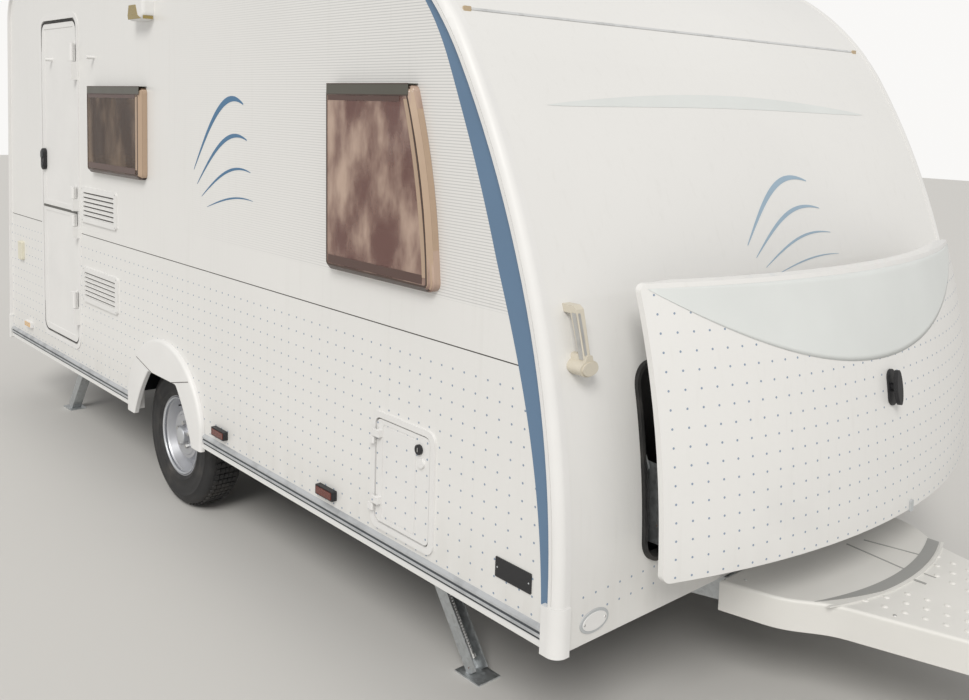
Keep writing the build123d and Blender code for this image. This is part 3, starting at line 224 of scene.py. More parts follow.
def painted(finish):
    """Painted sheet: faint ripples and orange peel, with road film low down and in streaks."""
    z = finish.parts()[2]
    film = (1 - z.smooth(0.40, 0.70)) * finish.noise(3, 3, stretch=(6, 6, 1.2))
    streaks = finish.noise(2, 3, stretch=(22, 22, 0.8)).smooth(0.55, 0.8)
    dull = film * 0.34 + streaks * 0.06
    finish.soiled = finish.mix(dull, varied(finish, 0.965, 1.2), FILM_COLOUR)
    finish.set("Base Color", finish.soiled)
    finish.set("Roughness", 0.30 + dull * 0.35)
    relief = finish.noise(2.4, 1) * 0.8 + finish.noise(420, 1) * 0.06
    finish.bump(relief, 0.25, 0.004)


def lined(finish):
    """Painted sheet with grey pin lines over the belt that fade towards the rear."""
    painted(finish)
    x, _, z = finish.parts()
    share = (z - LINE_Z[0]) / (LINE_Z[1] - LINE_Z[0])
    reach = finish.add("ShaderNodeFloatCurve", {"curve": LINE_CURVE}, {"Value": share}) * LINE_FULL
    ahead = (x - LINE_REAR_X) / reach
    ridge = (z / LINE_PITCH).of("FRACT").between(0.30, 0.62, 0.10)
    strength = ridge * ahead.smooth(0.0, 1.0) * share.between(0.001, 0.999, 0.001)
    finish.set("Base Color", finish.mix(strength * 0.42, finish.soiled, LINE_COLOUR))


def moulded(finish):
    """Moulded plastic: fine grain and a sheen that drifts."""
    finish.set("Base Color", varied(finish, 0.95, 4))
    finish.set("Roughness", 0.36 + finish.noise(9, 3) * 0.18)
    finish.bump(finish.noise(900, 2), 0.08, 0.0006)


def brushed(finish):
    """Drawn aluminium: fine lines along X and dull patches."""
    lines = finish.noise(1, 3, stretch=(3, 900, 900))
    patches = finish.noise(14, 4).smooth(0.45, 0.75)
    finish.worn = finish.mix(patches * 0.8, finish.colour, toned(finish, 0.72))
    finish.set("Base Color", finish.worn)
    finish.set("Roughness", 0.28 + lines * 0.15 + patches * 0.22)
    finish.bump(lines, 0.12, 0.0004)


# Skirt rail: the white strip's top edge and the grooves' edges over the rail's foot, and their colours; the
# grooves' near-black colour is painted shade
RAIL_WHITE_TOP = (0.0185, 0.0195)
RAIL_GROOVES = ((0.0190, 0.0275), (0.0370, 0.0445))
RAIL_WHITE, RAIL_GROOVE = (0.78, 0.78, 0.77), (0.10, 0.11, 0.12)


def banded(finish):
    """Drawn rail: a white strip under two bright ribs, with painted shade in the grooves between."""
    brushed(finish)
    height = finish.parts()[2] - SKIRT_Z
    white = 1 - height.smooth(*RAIL_WHITE_TOP)
    low_groove, high_groove = (height.between(low, high, 0.0004) for low, high in RAIL_GROOVES)
    strip = finish.mix(white, finish.worn, RAIL_WHITE)
    # The grooves take a near-black colour: painted shade in the recesses
    finish.set("Base Color", finish.mix(low_groove.math("MAXIMUM", low_groove, high_groove), strip,
                                        RAIL_GROOVE))
    finish.set("Metallic", 0.5 - white * 0.5)


def spangled(finish):
    """Hot-dip galvanised steel: grey crystals of different sheen, with a few rusty specks."""
    cells = finish.add("ShaderNodeTexVoronoi", {}, {"Vector": finish.place, "Scale": 95}, 1)
    grey = finish.parts(cells)[0]
    rust = finish.noise(26, 5, 0.7).smooth(0.66, 0.74)
    metal = finish.mix(grey, finish.colour, toned(finish, 1.25))
    finish.set("Base Color", finish.mix(rust, metal, (0.20, 0.09, 0.04)))
    finish.set("Roughness", 0.34 + grey * 0.22 + rust * 0.35)
    finish.set("Metallic", 0.85 - rust * 0.8)
    finish.bump(finish.noise(160, 3), 0.2, 0.0008)


def cast(finish):
    """Sand-cast iron under paint."""
    finish.set("Base Color", varied(finish, 0.7, 18))
    finish.set("Roughness", 0.5 + finish.noise(40, 3) * 0.25)
    finish.bump(finish.noise(260, 4, 0.7), 0.5, 0.0012)


def rubbery(finish):
    """Rubber: dusty and matt."""
    dust = finish.noise(11, 4).smooth(0.45, 0.8)
    finish.set("Base Color", finish.mix(dust * 0.5, finish.colour, (0.12, 0.11, 0.10)))
    finish.set("Roughness", 0.62 + dust * 0.25)
    finish.bump(finish.noise(500, 2), 0.15, 0.0006)


def grained(finish):
    """Wood-grain foil along X."""
    rings = finish.noise(2.5, 5, 0.6, stretch=(1.2, 22, 22))
    finish.set("Base Color", finish.mix(rings.smooth(0.35, 0.68), toned(finish, 0.62), finish.colour))
    finish.set("Roughness", 0.38 + rings * 0.2)
    finish.bump(finish.noise(1, 2, stretch=(6, 260, 260)), 0.12, 0.0004)


BOARDS_PER_METRE = 8
FLOOR_TOP = 0.485


def planked(finish):
    """Vinyl floor in boards across the cabin, darker underneath."""
    x, _, z = finish.parts()
    joint = abs((x * BOARDS_PER_METRE).of("FRACT") - 0.5).smooth(0.47, 0.495)
    grain = finish.noise(1.6, 4, stretch=(30, 2, 30))
    dark = toned(finish, 0.55)
    boards = finish.mix(grain.smooth(0.35, 0.7), dark, finish.colour)
    upper = z.smooth(FLOOR_TOP - 0.005, FLOOR_TOP)
    finish.set("Base Color", finish.mix(upper, (0.05, 0.045, 0.04), finish.mix(joint, boards, dark)))
    finish.set("Roughness", 0.8 - upper * 0.35)
    finish.bump(grain, 0.15, 0.0005)


def woven(finish):
    """Plain weave with small flecks."""
    x, y, z = finish.parts()
    warp = ((x + z * 0.37) * 2600).of("SINE")
    weft = ((y + z * 0.61) * 2600).of("SINE")
    flecks = finish.noise(70, 3).smooth(0.55, 0.62)
    finish.set("Base Color", finish.mix(flecks * 0.6, varied(finish, 0.85, 7), toned(finish, 1.5)))
    finish.set("Roughness", 0.9 - flecks * 0.1)
    finish.set("Sheen Weight", 0.3)
    finish.bump((warp * weft + 1) * 0.5, 0.5, 0.0007)


def lensed(finish):
    """Moulded lamp lens: prisms behind a clear face."""
    x, y, z = finish.parts()
    prism = ((x + y) * 900).of("SINE") * (z * 900).of("SINE")
    finish.set("Base Color", finish.mix(prism.smooth(-0.2, 0.9), finish.colour, toned(finish, 1.6)))
    finish.set("Roughness", 0.16 + prism.smooth(0, 1) * 0.1)
    finish.bump(prism, 0.4, 0.0008)


# The panes' painted reflection on the wide panes and on the small ones behind the door side's middle, and the
# painted shade of the small ones
HAZE_WIDE, HAZE_SMALL = (0.62, 0.46, 0.37), (0.22, 0.15, 0.10)
DEPTH_SMALL = (0.075, 0.042, 0.026)


def glazed(finish):
    """Smoked acrylic with painted shade on the panes behind the middle, a painted reflection that drifts, and
    gentle waves.
    """
    # Pale patches of painted reflection over the acrylic's tint
    haze = finish.noise(1.5, 4, stretch=(5, 5, 2.4)).smooth(0.38, 0.68)
    small = 1 - finish.parts()[0].smooth(-1.0, -0.8)
    # The panes behind the middle get darker colours: painted shade
    light = finish.mix(small, HAZE_WIDE, HAZE_SMALL)
    dark = finish.mix(small, finish.colour, DEPTH_SMALL)
    finish.set("Base Color", finish.mix(haze, dark, light))
    finish.set("Alpha", 0.62 + haze * 0.16)
    finish.set("IOR", 1.49)
    finish.set("Roughness", 0.05 + haze * 0.06)
    finish.bump(finish.noise(2.2, 1), 0.35, 0.012)


# Finish: pattern and colour, then metallic and the clear coat's weight where they aren't 0
FINISH_TABLE = {
    "body_sheet": (painted, (0.82, 0.815, 0.80), 0.0, 0.2),
    "side_sheet": (lined, (0.82, 0.815, 0.80), 0.0, 0.2),
    "trim_moulding": (moulded, (0.82, 0.815, 0.805)),
    "lid_moulding": (painted, (0.82, 0.815, 0.80), 0.0, 0.3),
    "lens_grey": (moulded, (0.74, 0.765, 0.755)),
    "cover_plastic": (moulded, (0.76, 0.75, 0.72)),
    "band_grey": (moulded, (0.36, 0.36, 0.35)),
    "handle_beige": (moulded, (0.66, 0.61, 0.51)),
    "socket_cream": (moulded, (0.76, 0.73, 0.60)),
    "drawn_aluminium": (brushed, (0.80, 0.81, 0.81), 0.55),
    "rail_banded": (banded, (0.60, 0.62, 0.64)),
    "rail_dark": (moulded, (0.055, 0.052, 0.05)),
    "stripe_blue": (moulded, (0.125, 0.215, 0.34), 0.0, 0.2),
    "plate_grey": (moulded, (0.50, 0.52, 0.53)),
    # The locker's inside is near black: painted shade in the open locker
    "locker_black": (moulded, (0.004, 0.004, 0.005)),
    "end_cap_tan": (moulded, (0.55, 0.43, 0.28)),
    "dot_blue": (moulded, (0.27, 0.34, 0.44)),
    "motif_pale": (moulded, (0.34, 0.46, 0.57)),
    "motif_blue": (moulded, (0.075, 0.19, 0.34)),
    "seam_dark": (rubbery, (0.06, 0.055, 0.05)),
    "plate_black": (moulded, (0.02, 0.02, 0.022)),
    "black_plastic": (moulded, (0.015, 0.015, 0.017)),
    "seal_grey": (rubbery, (0.13, 0.13, 0.12)),
    "seal_rubber": (rubbery, (0.018, 0.018, 0.018)),
    "tyre_rubber": (rubbery, (0.022, 0.022, 0.023)),
    "wheel_silver": (moulded, (0.56, 0.57, 0.60), 0.75, 0.2),
    "wheel_bright": (moulded, (0.72, 0.74, 0.77), 0.9, 0.4),
    "galvanised": (spangled, (0.48, 0.50, 0.51)),
    "cast_paint": (cast, (0.10, 0.105, 0.11), 0.3),
    "bright_steel": (brushed, (0.62, 0.62, 0.61), 1.0),
    "lamp_amber": (lensed, (0.55, 0.20, 0.03), 0.0, 0.5),
    "lamp_pale": (lensed, (0.66, 0.42, 0.20), 0.0, 0.5),
    "lamp_orange": (lensed, (0.11, 0.014, 0.006), 0.0, 0.5),
    "lamp_red": (lensed, (0.38, 0.02, 0.02), 0.0, 0.5),
    "lamp_gold": (lensed, (0.27, 0.20, 0.055), 0.0, 0.5),
    "lamp_clear": (lensed, (0.62, 0.62, 0.60), 0.0, 0.5),
    "window_brown": (glazed, (0.22, 0.115, 0.10)),
    "window_olive": (moulded, (0.085, 0.080, 0.062), 0.0, 0.5),
    "window_sill": (moulded, (0.085, 0.040, 0.030), 0.0, 0.5),
    "window_edge": (moulded, (0.060, 0.032, 0.022), 0.0, 0.4),
    # Painted highlight on the windows' front edges, which face the light
    "window_glow": (moulded, (0.47, 0.34, 0.24), 0.0, 0.4),
    "cabinet_foil": (grained, (0.46, 0.29, 0.15)),
    "floor_vinyl": (planked, (0.30, 0.21, 0.13)),
    "seat_cloth": (woven, (0.20, 0.27, 0.38)),
    "piping_cloth": (woven, (0.50, 0.48, 0.42)),
    "curtain_cloth": (woven, (0.66, 0.60, 0.52)),
}
FINISHES = {}

# Finish: the CAD nodes that wear it
WORN_BY = {
    "side_sheet": "side_wall_right side_wall_left",
    "body_sheet": "front_wall rear_wall roof_panel",
    "floor_vinyl": "floor_panel",
    "trim_moulding": "edge_trims corner_caps wheel_arches roof_hatches fridge_vents wall_frames door_lower "
                     "door_upper service_flap lamps side_fittings",
    "rail_banded": "skirt_rails",
    "black_plastic": "wheel_boxes lid_latch",
    "window_brown": "window_panes",
    "rail_dark": "window_rails",
    "locker_black": "gas_locker",
    "seal_rubber": "locker_seal gaiter",
    "lid_moulding": "locker_lid",
    "handle_beige": "grab_handles",
    "galvanised": "lid_brackets lid_arms_upper lid_arms_lower chassis_frame axle jockey_tube jockey_fork "
                  "steady_brackets steady_front_right steady_front_left steady_rear_right steady_rear_left",
    "cast_paint": "overrun_device coupling_head",
    "cover_plastic": "drawbar_cover",
    "tyre_rubber": "tyre_right tyre_left jockey_wheel",
    "wheel_silver": "rim_right rim_left",
    "cabinet_foil": "furniture",
    "seat_cloth": "cushions",
}
NODE_FINISH = {node: name for name, nodes in WORN_BY.items() for node in nodes.split()}


def finish(name):
    """The material of a finish, made once."""
    if name not in FINISHES:
        pattern, *constants = FINISH_TABLE[name]
        made = Finish(name, *constants)
        pattern(made)
        FINISHES[name] = made.material
    return FINISHES[name]


# Outlines


def front_arcs():
    """The arcs of the front outline: lowest and highest Z, centre and radius."""
    point = Vector((FRONT_X, SKIRT_Z + NOSE_SHARE * BODY_H))
    heading = Vector((0, 1))
    arcs = []
    for back, share in FRONT_CURVE:
        end = Vector((FRONT_X - back, SKIRT_Z + share * BODY_H))
        step = end - point
        inwards = Vector((-heading.y, heading.x))
        radius = step.length_squared / (2 * step.dot(inwards))
        arcs.append((point.y, end.y, point + inwards * radius, radius))
        along = step.normalized()
        heading = 2 * along.dot(heading) * along - heading
        point = end
    return arcs


ARCS = front_arcs()


def front_x(z, inset=PANEL_INSET):
    """X of the front outline at a height, moved inwards."""
    for low, high, centre, radius in ARCS:
        if z <= high + 1e-6:
            if z <= low:
                return FRONT_X - inset
            short = radius - inset
            return centre.x + math.sqrt(max(short * short - (z - centre.y) ** 2, 0))
    return ARCS[-1][2].x


def between(ends, share):
    """The number at a share of the way between two."""
    return ends[0] + (ends[1] - ends[0]) * share


def smooth_line(points, place):
    """A smooth curve through (place, value) points, read at a place."""
    points = [points[0], *points, points[-1]]
    for index in range(1, len(points) - 2):
        (p0, v0), (p1, v1), (p2, v2), (p3, v3) = points[index - 1:index + 3]
        if place <= p2 or index == len(points) - 3:
            share = min(max((place - p1) / (p2 - p1), 0), 1)
            start = (v2 - v0) / (p2 - p0) * (p2 - p1) if p2 > p0 else 0
            end = (v3 - v1) / (p3 - p1) * (p2 - p1) if p3 > p1 else 0
            s2, s3 = share * share, share ** 3
            return (v1 * (2 * s3 - 3 * s2 + 1) + start * (s3 - 2 * s2 + share)
                    + v2 * (3 * s2 - 2 * s3) + end * (s3 - s2))
    return points[-1][1]


# The open lid: its edge follows the wall's lowest arc, further out and moved forwards and up
LID_SHUT_LOW = 0.542
LID_STAND = 0.024
NOSE_CENTRE, NOSE_RADIUS = ARCS[0][2:]
LID_EDGE_RADIUS = NOSE_RADIUS - PANEL_INSET + LID_STAND
LID_CENTRE_X = LID_HIGH.x - LID_EDGE_RADIUS - LID_BULGE
LID_CENTRE_Z = NOSE_CENTRE.y + LID_LOW.z - LID_SHUT_LOW
LID_PLAN_RADIUS = (LID_HALF ** 2 + LID_BULGE ** 2) / (2 * LID_BULGE)


def lid_x(y, z):
    """X of the lid's outer face."""
    bulge = LID_BULGE - LID_PLAN_RADIUS + math.sqrt(LID_PLAN_RADIUS ** 2 - y * y)
    return LID_CENTRE_X + math.sqrt((LID_EDGE_RADIUS + bulge) ** 2 - (z - LID_CENTRE_Z) ** 2)


# Meshes


def piece(name, shape, node, finish_name, smooth=False):
    """An object from a bmesh or a mesh that rides on a CAD node's body and wears a finish."""
    mesh = mesh_of(shape, name) if isinstance(shape, bmesh.types.BMesh) else shape
    made = bpy.data.objects.new(name, mesh)
    bpy.context.scene.collection.objects.link(made)
    mesh.materials.clear()
    mesh.materials.append(finish(finish_name))
    for face in mesh.polygons:
        face.use_smooth = smooth
    body = BODY_OF[node]
    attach(made, body)
    return made


def mesh_of(bm, name):
    """A mesh from a bmesh, with its faces pointing outwards."""
    bmesh.ops.recalc_face_normals(bm, faces=bm.faces)
    mesh = bpy.data.meshes.new(name)
    bm.to_mesh(mesh)
    bm.free()
    return mesh


def sheet_into(bm, point_at, columns, rows, thickness, outwards):
    """A closed thin sheet over a grid: point_at(u, v) with u and v from 0 to 1, outwards its outer side."""
    outwards = Vector(outwards)
    layers = []
    for depth in (0.0, thickness):
        layer = []
        for row in range(rows + 1):
            for column in range(columns + 1):
                point = Vector(point_at(column / columns, row / rows)) + outwards * depth
                layer.append(bm.verts.new(point))
        layers.append(layer)
    wide = columns + 1
    for row in range(rows):
        for column in range(columns):
            a, b = row * wide + column, row * wide + column + 1
            c, d = b + wide, a + wide
            for layer in layers:
                bm.faces.new([layer[index] for index in (a, b, c, d)])
    rim = ([(c, c + 1) for c in range(columns)]
           + [(rows * wide + c, rows * wide + c + 1) for c in range(columns)]
           + [(r * wide, (r + 1) * wide) for r in range(rows)]
           + [(r * wide + columns, (r + 1) * wide + columns) for r in range(rows)])
    for a, b in rim:
        bm.faces.new([layers[0][a], layers[0][b], layers[1][b], layers[1][a]])


def loft_into(bm, rings, closed=False):
    """A closed body through rings of as many points each; closed, it runs on from the last to the first."""
    made = [[bm.verts.new(point) for point in ring] for ring in rings]
    count = len(made[0])
    for low, high in zip(made, made[1:] + made[:1] if closed else made[1:]):
        for index in range(count):
            following = (index + 1) % count
            bm.faces.new([low[index], low[following], high[following], high[index]])
    if not closed:
        bm.faces.new(made[0])
        bm.faces.new(made[-1])


def prism_into(bm, outline, base, across, up, depth):
    """A prism: an outline of (across, up) pairs at base, carried by depth along across x up."""
    across, up = Vector(across).normalized(), Vector(up).normalized()
    out = across.cross(up)
    loft_into(bm, [[Vector(base) + across * u + up * v + out * lift for u, v in outline]
                   for lift in (0.0, depth)])


def box_into(bm, low, high):
    """A box between two corners."""
    outline = [(low[0], low[1]), (high[0], low[1]), (high[0], high[1]), (low[0], high[1])]
    loft_into(bm, [[(x, y, z) for x, y in outline] for z in (low[2], high[2])])


def plate_into(bm, outline, way, low, high):
    """A plate on a side's face: an outline of (x, z) pairs between two distances from the face."""
    loft_into(bm, [[(x, way * (SIDE_Y + lift), z) for x, z in outline] for lift in (low, high)])


def side_box_into(bm, way, across, lifts, heights):
    """A box on a side: its span along X, its two distances from the side's face and its span along Z."""
    low, high = sorted(way * (SIDE_Y + lift) for lift in lifts)
    box_into(bm, (across[0], low, heights[0]), (across[1], high, heights[1]))


def oval_outline(half_width, half_height, count):
    """A regular polygon with this many corners, stretched, as (across, up) pairs."""
    return [(half_width * math.cos(math.tau * step / count), half_height * math.sin(math.tau * step / count))
            for step in range(count)]


def rounded_outline(width, height, radius, steps=5):
    """A rectangle about the origin with round corners, as (across, up) pairs."""
    points = []
    for quarter, (sx, sy) in enumerate(((1, 1), (-1, 1), (-1, -1), (1, -1))):
        for step in range(steps + 1):
            angle = math.radians(90) * (quarter + step / steps)
            points.append((sx * (width / 2 - radius) + radius * math.cos(angle),
                           sy * (height / 2 - radius) + radius * math.sin(angle)))
    return points


def domed_into(bm, outline, base, across, up, depth, round_by, steps=3):
    """A prism whose outer edge is rounded off."""
    across, up = Vector(across).normalized(), Vector(up).normalized()
    out = across.cross(up)
    rings = [[Vector(base) + across * u + up * v for u, v in outline]]
    for step in range(steps + 1):
        angle = math.radians(90) * step / steps
        shrink = round_by * (1 - math.cos(angle))
        lift = depth - round_by + round_by * math.sin(angle)
        ring = []
        for u, v in outline:
            share = 1 - shrink / max(math.hypot(u, v), 1e-9)
            ring.append(Vector(base) + across * u * share + up * v * share + out * lift)
        rings.append(ring)
    loft_into(bm, rings)


def cap_into(bm, outline, x, z, way, low, depth, round_by):
    """A domed plate on a side's face about (x, z), between low and low + depth from the face."""
    mirrored = [(-u, v) for u, v in outline] if way > 0 else outline
    domed_into(bm, mirrored, (x, way * (SIDE_Y + low), z), (-way, 0, 0), (0, 0, 1), depth, round_by)


def front_cap_into(bm, outline, place, depth, round_by):
    """A domed plate that faces forwards."""
    domed_into(bm, outline, place, (0, 1, 0), (0, 0, 1), depth, round_by)


def sided(profile, way):
    """A turned shape's profile, turned about where way is -1."""
    return [(way * along, radius) for along, radius in profile]


def turned_rings(profile, centre, axis, steps):
    """A turned shape's rings of points; a ring is one point where the radius is 0."""
    axis = Vector(axis).normalized()
    side = axis.orthogonal().normalized()
    third = axis.cross(side)
    rings = []
    for along, radius in profile:
        middle = Vector(centre) + axis * along
        angles = [math.tau * step / steps for step in range(steps)] if radius > 0 else [0.0]
        rings.append([middle + (side * math.cos(angle) + third * math.sin(angle)) * radius
                      for angle in angles])
    return rings


def lathe_into(bm, profile, centre, axis, steps):
    """A turned shape: (along, radius) pairs about an axis; the ends close where the radius is 0."""
    rings = [[bm.verts.new(point) for point in ring] for ring in turned_rings(profile, centre, axis, steps)]
    for low, high in zip(rings, rings[1:]):
        for step in range(steps):
            following = (step + 1) % steps
            corners = []
            for ring, places in ((low, (step, following)), (high, (following, step))):
                corners += [ring[0]] if len(ring) == 1 else [ring[place] for place in places]
            bm.faces.new(corners)


def ring_into(bm, profile, centre, axis, steps):
    """A turned ring: a closed profile of (along, radius) pairs."""
    loft_into(bm, turned_rings(profile, centre, axis, steps), closed=True)


def sheet_piece(name, node, finish_name, *sheet, smooth=False):
    """A piece of one thin sheet, with what sheet_into takes."""
    bm = bmesh.new()
    sheet_into(bm, *sheet)
    return piece(name, bm, node, finish_name, smooth)


# Geometry trees


def dress_tree(name, build, inputs):
    """A geometry tree with named inputs; build(graph, sockets) returns the geometry that it ends in."""
    tree = bpy.data.node_groups.new(name, "GeometryNodeTree")
    for kind, labels in {"Geometry": "Geometry", **inputs, "Material": "Material"}.items():
        for label in labels.split():
            tree.interface.new_socket(label, in_out="INPUT", socket_type="NodeSocket" + kind)
    tree.interface.new_socket("Geometry", in_out="OUTPUT", socket_type="NodeSocketGeometry")
    graph = Graph(tree)
    entry = tree.nodes.new("NodeGroupInput")
    sockets = {output.name: Link(graph, output) for output in entry.outputs if output.name}
    made = build(graph, sockets)
    single = graph.add("GeometryNodeRealizeInstances", {}, {"Geometry": made})
    coloured = graph.add("GeometryNodeSetMaterial", {}, {"Geometry": single, "Material": sockets["Material"]})
    end = tree.nodes.new("NodeGroupOutput")
    tree.links.new(coloured.socket, end.inputs[0])
    return tree


def grown(name, tree_name, values, node, finish_name, base=None):
    """A tree's result on a base mesh, as a plain piece that rides on a CAD node's body."""
    tree = tree_of(tree_name)
    made = bpy.data.objects.new(name, base or bpy.data.meshes.new(name))
    bpy.context.scene.collection.objects.link(made)
    modifier = made.modifiers.new("Dress", "NODES")
    modifier.node_group = tree
    labels = {item.name: item.identifier for item in tree.interface.items_tree
              if item.item_type == "SOCKET" and item.in_out == "INPUT"}
    for label, value in {**values, "Material": finish(finish_name)}.items():
        modifier[labels[label]] = value
    evaluated = made.evaluated_get(bpy.context.evaluated_depsgraph_get())
    mesh = bpy.data.meshes.new_from_object(evaluated)
    made.modifiers.remove(modifier)
    bpy.data.objects.remove(made)
    return piece(name, mesh, node, finish_name)


def heads(name, node, finish_name, radius, rows):
    """A piece of domed heads on rows of (place, facing)."""
    base = bpy.data.meshes.new(name)
    base.from_pydata([place for place, way in rows], [], [])
    facing = base.attributes.new("facing", "FLOAT_VECTOR", "POINT")
    for value, (place, way) in zip(facing.data, rows):
        value.vector = way
    return grown(name, "screw_heads", {"Radius": radius}, node, finish_name, base)


def build_studs(graph, sockets):
    """Low round studs on a square grid, dropped along a direction on to the target's surface."""
    grid = graph.add("GeometryNodeMeshGrid", {}, {
        "Size X": sockets["Width"], "Size Y": sockets["Height"],
        "Vertices X": sockets["Columns"], "Vertices Y": sockets["Rows"]})
    turned = graph.add("GeometryNodeTransform", {}, {
        "Geometry": grid, "Translation": sockets["Centre"], "Rotation": sockets["Turn"]})
    target = graph.add("GeometryNodeObjectInfo", {"transform_space": "RELATIVE"},
                       {"Object": sockets["Target"]}, output="Geometry")
    hits = graph.add("GeometryNodeRaycast", {}, {
        "Target Geometry": target, "Ray Direction": sockets["Direction"],
        "Ray Length": sockets["Reach"]}).socket.node.outputs
    capture = graph.add("GeometryNodeCaptureAttribute", {}, {"Geometry": turned}).socket.node
    for kind, label in (("VECTOR", "Hit Position"), ("VECTOR", "Hit Normal"), ("BOOLEAN", "Is Hit")):
        capture.capture_items.new(kind, label)
    for label in ("Hit Position", "Hit Normal", "Is Hit"):
        graph.tree.links.new(hits[label], capture.inputs[label])
    points, place, normal, hit = (Link(graph, capture.outputs[label])
                                  for label in ("Geometry", "Hit Position", "Hit Normal", "Is Hit"))
    dropped = graph.add("GeometryNodeSetPosition", {}, {"Geometry": points, "Position": place})
    stud = graph.add("GeometryNodeMeshCylinder", {}, {
        "Vertices": 8, "Radius": sockets["Radius"], "Depth": sockets["Thickness"]})
    facing = graph.add("FunctionNodeAlignRotationToVector", {"axis": "Z"}, {"Vector": normal})
    return graph.add("GeometryNodeInstanceOnPoints", {}, {
        "Points": dropped, "Selection": hit, "Instance": stud, "Rotation": facing})


def build_heads(graph, sockets):
    """Low domes on the base mesh's points, facing the way stored with them."""
    dome = graph.add("GeometryNodeMeshUVSphere", {},
                     {"Segments": 10, "Rings": 6, "Radius": sockets["Radius"]})
    flat = graph.add("GeometryNodeTransform", {}, {"Geometry": dome, "Scale": (1.0, 1.0, 0.45)})
    way = graph.add("GeometryNodeInputNamedAttribute", {"data_type": "FLOAT_VECTOR"}, {"Name": "facing"})
    facing = graph.add("FunctionNodeAlignRotationToVector", {"axis": "Z"}, {"Vector": way})
    return graph.add("GeometryNodeInstanceOnPoints", {}, {
        "Points": sockets["Geometry"], "Instance": flat, "Rotation": facing})


# Tread rows: place across the tyre, slant in radians
TREAD_ROWS = ((-0.0440, 0.30), (-0.0220, 0.15), (0.0, 0.0), (0.0220, -0.15), (0.0440, -0.30))


def build_tread(graph, sockets):
    """Tread blocks round the tyre in slanting rows."""
    circle = graph.add("GeometryNodeMeshCircle", {},
                       {"Vertices": sockets["Blocks"], "Radius": sockets["Reach"]})
    upright = graph.add("GeometryNodeTransform", {}, {"Geometry": circle, "Rotation": (math.pi / 2, 0, 0)})
    facing = graph.add("FunctionNodeAlignRotationToVector", {"axis": "Z", "pivot_axis": "Y"},
                       {"Vector": graph.add("GeometryNodeInputPosition")})
    block = graph.add("GeometryNodeMeshCube", {}, {"Size": sockets["Block"]})
    rows = []
    for offset, turn in TREAD_ROWS:
        slanted = graph.add("GeometryNodeTransform", {}, {"Geometry": block, "Translation": (0, offset, 0),
                                                          "Rotation": (0, 0, turn)})
        rows.append(graph.add("GeometryNodeInstanceOnPoints", {}, {
            "Points": upright, "Instance": slanted, "Rotation": facing}))
    joined = graph.tree.nodes.new("GeometryNodeJoinGeometry")
    for row in reversed(rows):
        graph.tree.links.new(row.socket, joined.inputs[0])
    return graph.add("GeometryNodeTransform", {}, {
        "Geometry": Link(graph, joined.outputs[0]), "Translation": sockets["Centre"]})


TREES = {}
# Tree: what builds it, and the names of its inputs of each kind
TREE_TABLE = {
    "studs_on_surface": (build_studs, {
        "Object": "Target", "Float": "Width Height Reach Radius Thickness", "Int": "Columns Rows",
        "Vector": "Centre Turn Direction"}),
    "screw_heads": (build_heads, {"Float": "Radius"}),
    "tyre_tread": (build_tread, {"Int": "Blocks", "Float": "Reach", "Vector": "Block Centre"}),
}


def tree_of(name):
    """A geometry tree, built once."""
    if name not in TREES:
        build, inputs = TREE_TABLE[name]
        TREES[name] = dress_tree(name, build, inputs)
    return TREES[name]


# Graphics

# Blue stripe: height, its width behind the edge trim; pin lines: their range, reach and pitch
STRIPE_WIDTH = ((0.45, 0.034), (0.742, 0.052), (0.98, 0.070), (1.28, 0.094), (1.47, 0.102),
                (1.86, 0.083), (2.16, 0.047), (2.42, 0.022))
LINE_Z = (1.292, 2.420)
LINE_REAR_X = -0.900
LINE_FULL = 2.600
LINE_PITCH = 0.0092
LINE_COLOUR = (0.30, 0.31, 0.32)


def stripe_edge(z):
    """X of the blue stripe's rear edge."""
    return front_x(z, TRIM_W) - smooth_line(STRIPE_WIDTH, z)


LINE_CURVE = [(share, (stripe_edge(between(LINE_Z, share)) + 0.008 - LINE_REAR_X) / LINE_FULL)
              for share in (0, 0.15, 0.3, 0.45, 0.6, 0.75, 0.88, 1)]

DOOR_LOW, DOOR_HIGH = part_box("door_upper")
BELT_SPANS = {
    "right": ((REAR_X + 0.075, DOOR_LOW.x - 0.033), (DOOR_HIGH.x + 0.033, front_x(BELT_Z, TRIM_W) - 0.0005)),
    "left": ((REAR_X + 0.075, front_x(BELT_Z, TRIM_W) - 0.0005),),
}

# The generic motif: its place on the side and on the front, and its sweeps with their
# start across and up, length, rise and thickness
MOTIF_SIDE = (-0.480, 1.400)
MOTIF_FRONT = (-0.20, 1.30)
SWEEPS = (
    (0.00, 0.18, 0.42, 0.300, 0.030),
    (0.03, 0.12, 0.42, 0.215, 0.020),
    (0.07, 0.07, 0.41, 0.135, 0.012),
    (0.12, 0.03, 0.38, 0.060, 0.007),
)


def sweep_point(row, u, v):
    """A point of one tapered sweep about its start, as (across, up)."""
    across, up, length, rise, thick = row
    bow = rise * math.sin(math.pi * 0.62 * u)
    width = thick * math.sin(math.pi * min(u * 0.92 + 0.04, 1)) ** 0.8
    return across + length * u, up + bow + (v - 0.5) * width


def motif_piece(name, node, finish_name, outwards, point_of):
    """A piece of the motif's sweeps; point_of(across, up) gives a place on the face."""
    bm = bmesh.new()
    for row in SWEEPS:
        sheet_into(bm, lambda u, v, row=row: point_of(*sweep_point(row, u, v)), 36, 2, SKIN, outwards)
    return piece(name, bm, node, finish_name)


def wall_point(y, z, lift):
    """A point over the front wall's face."""
    return front_x(z) + lift, y, z


def lid_point(y, z, lift):
    """A point over the lid's face."""
    return lid_x(y, z) + lift, y, z


# Settings


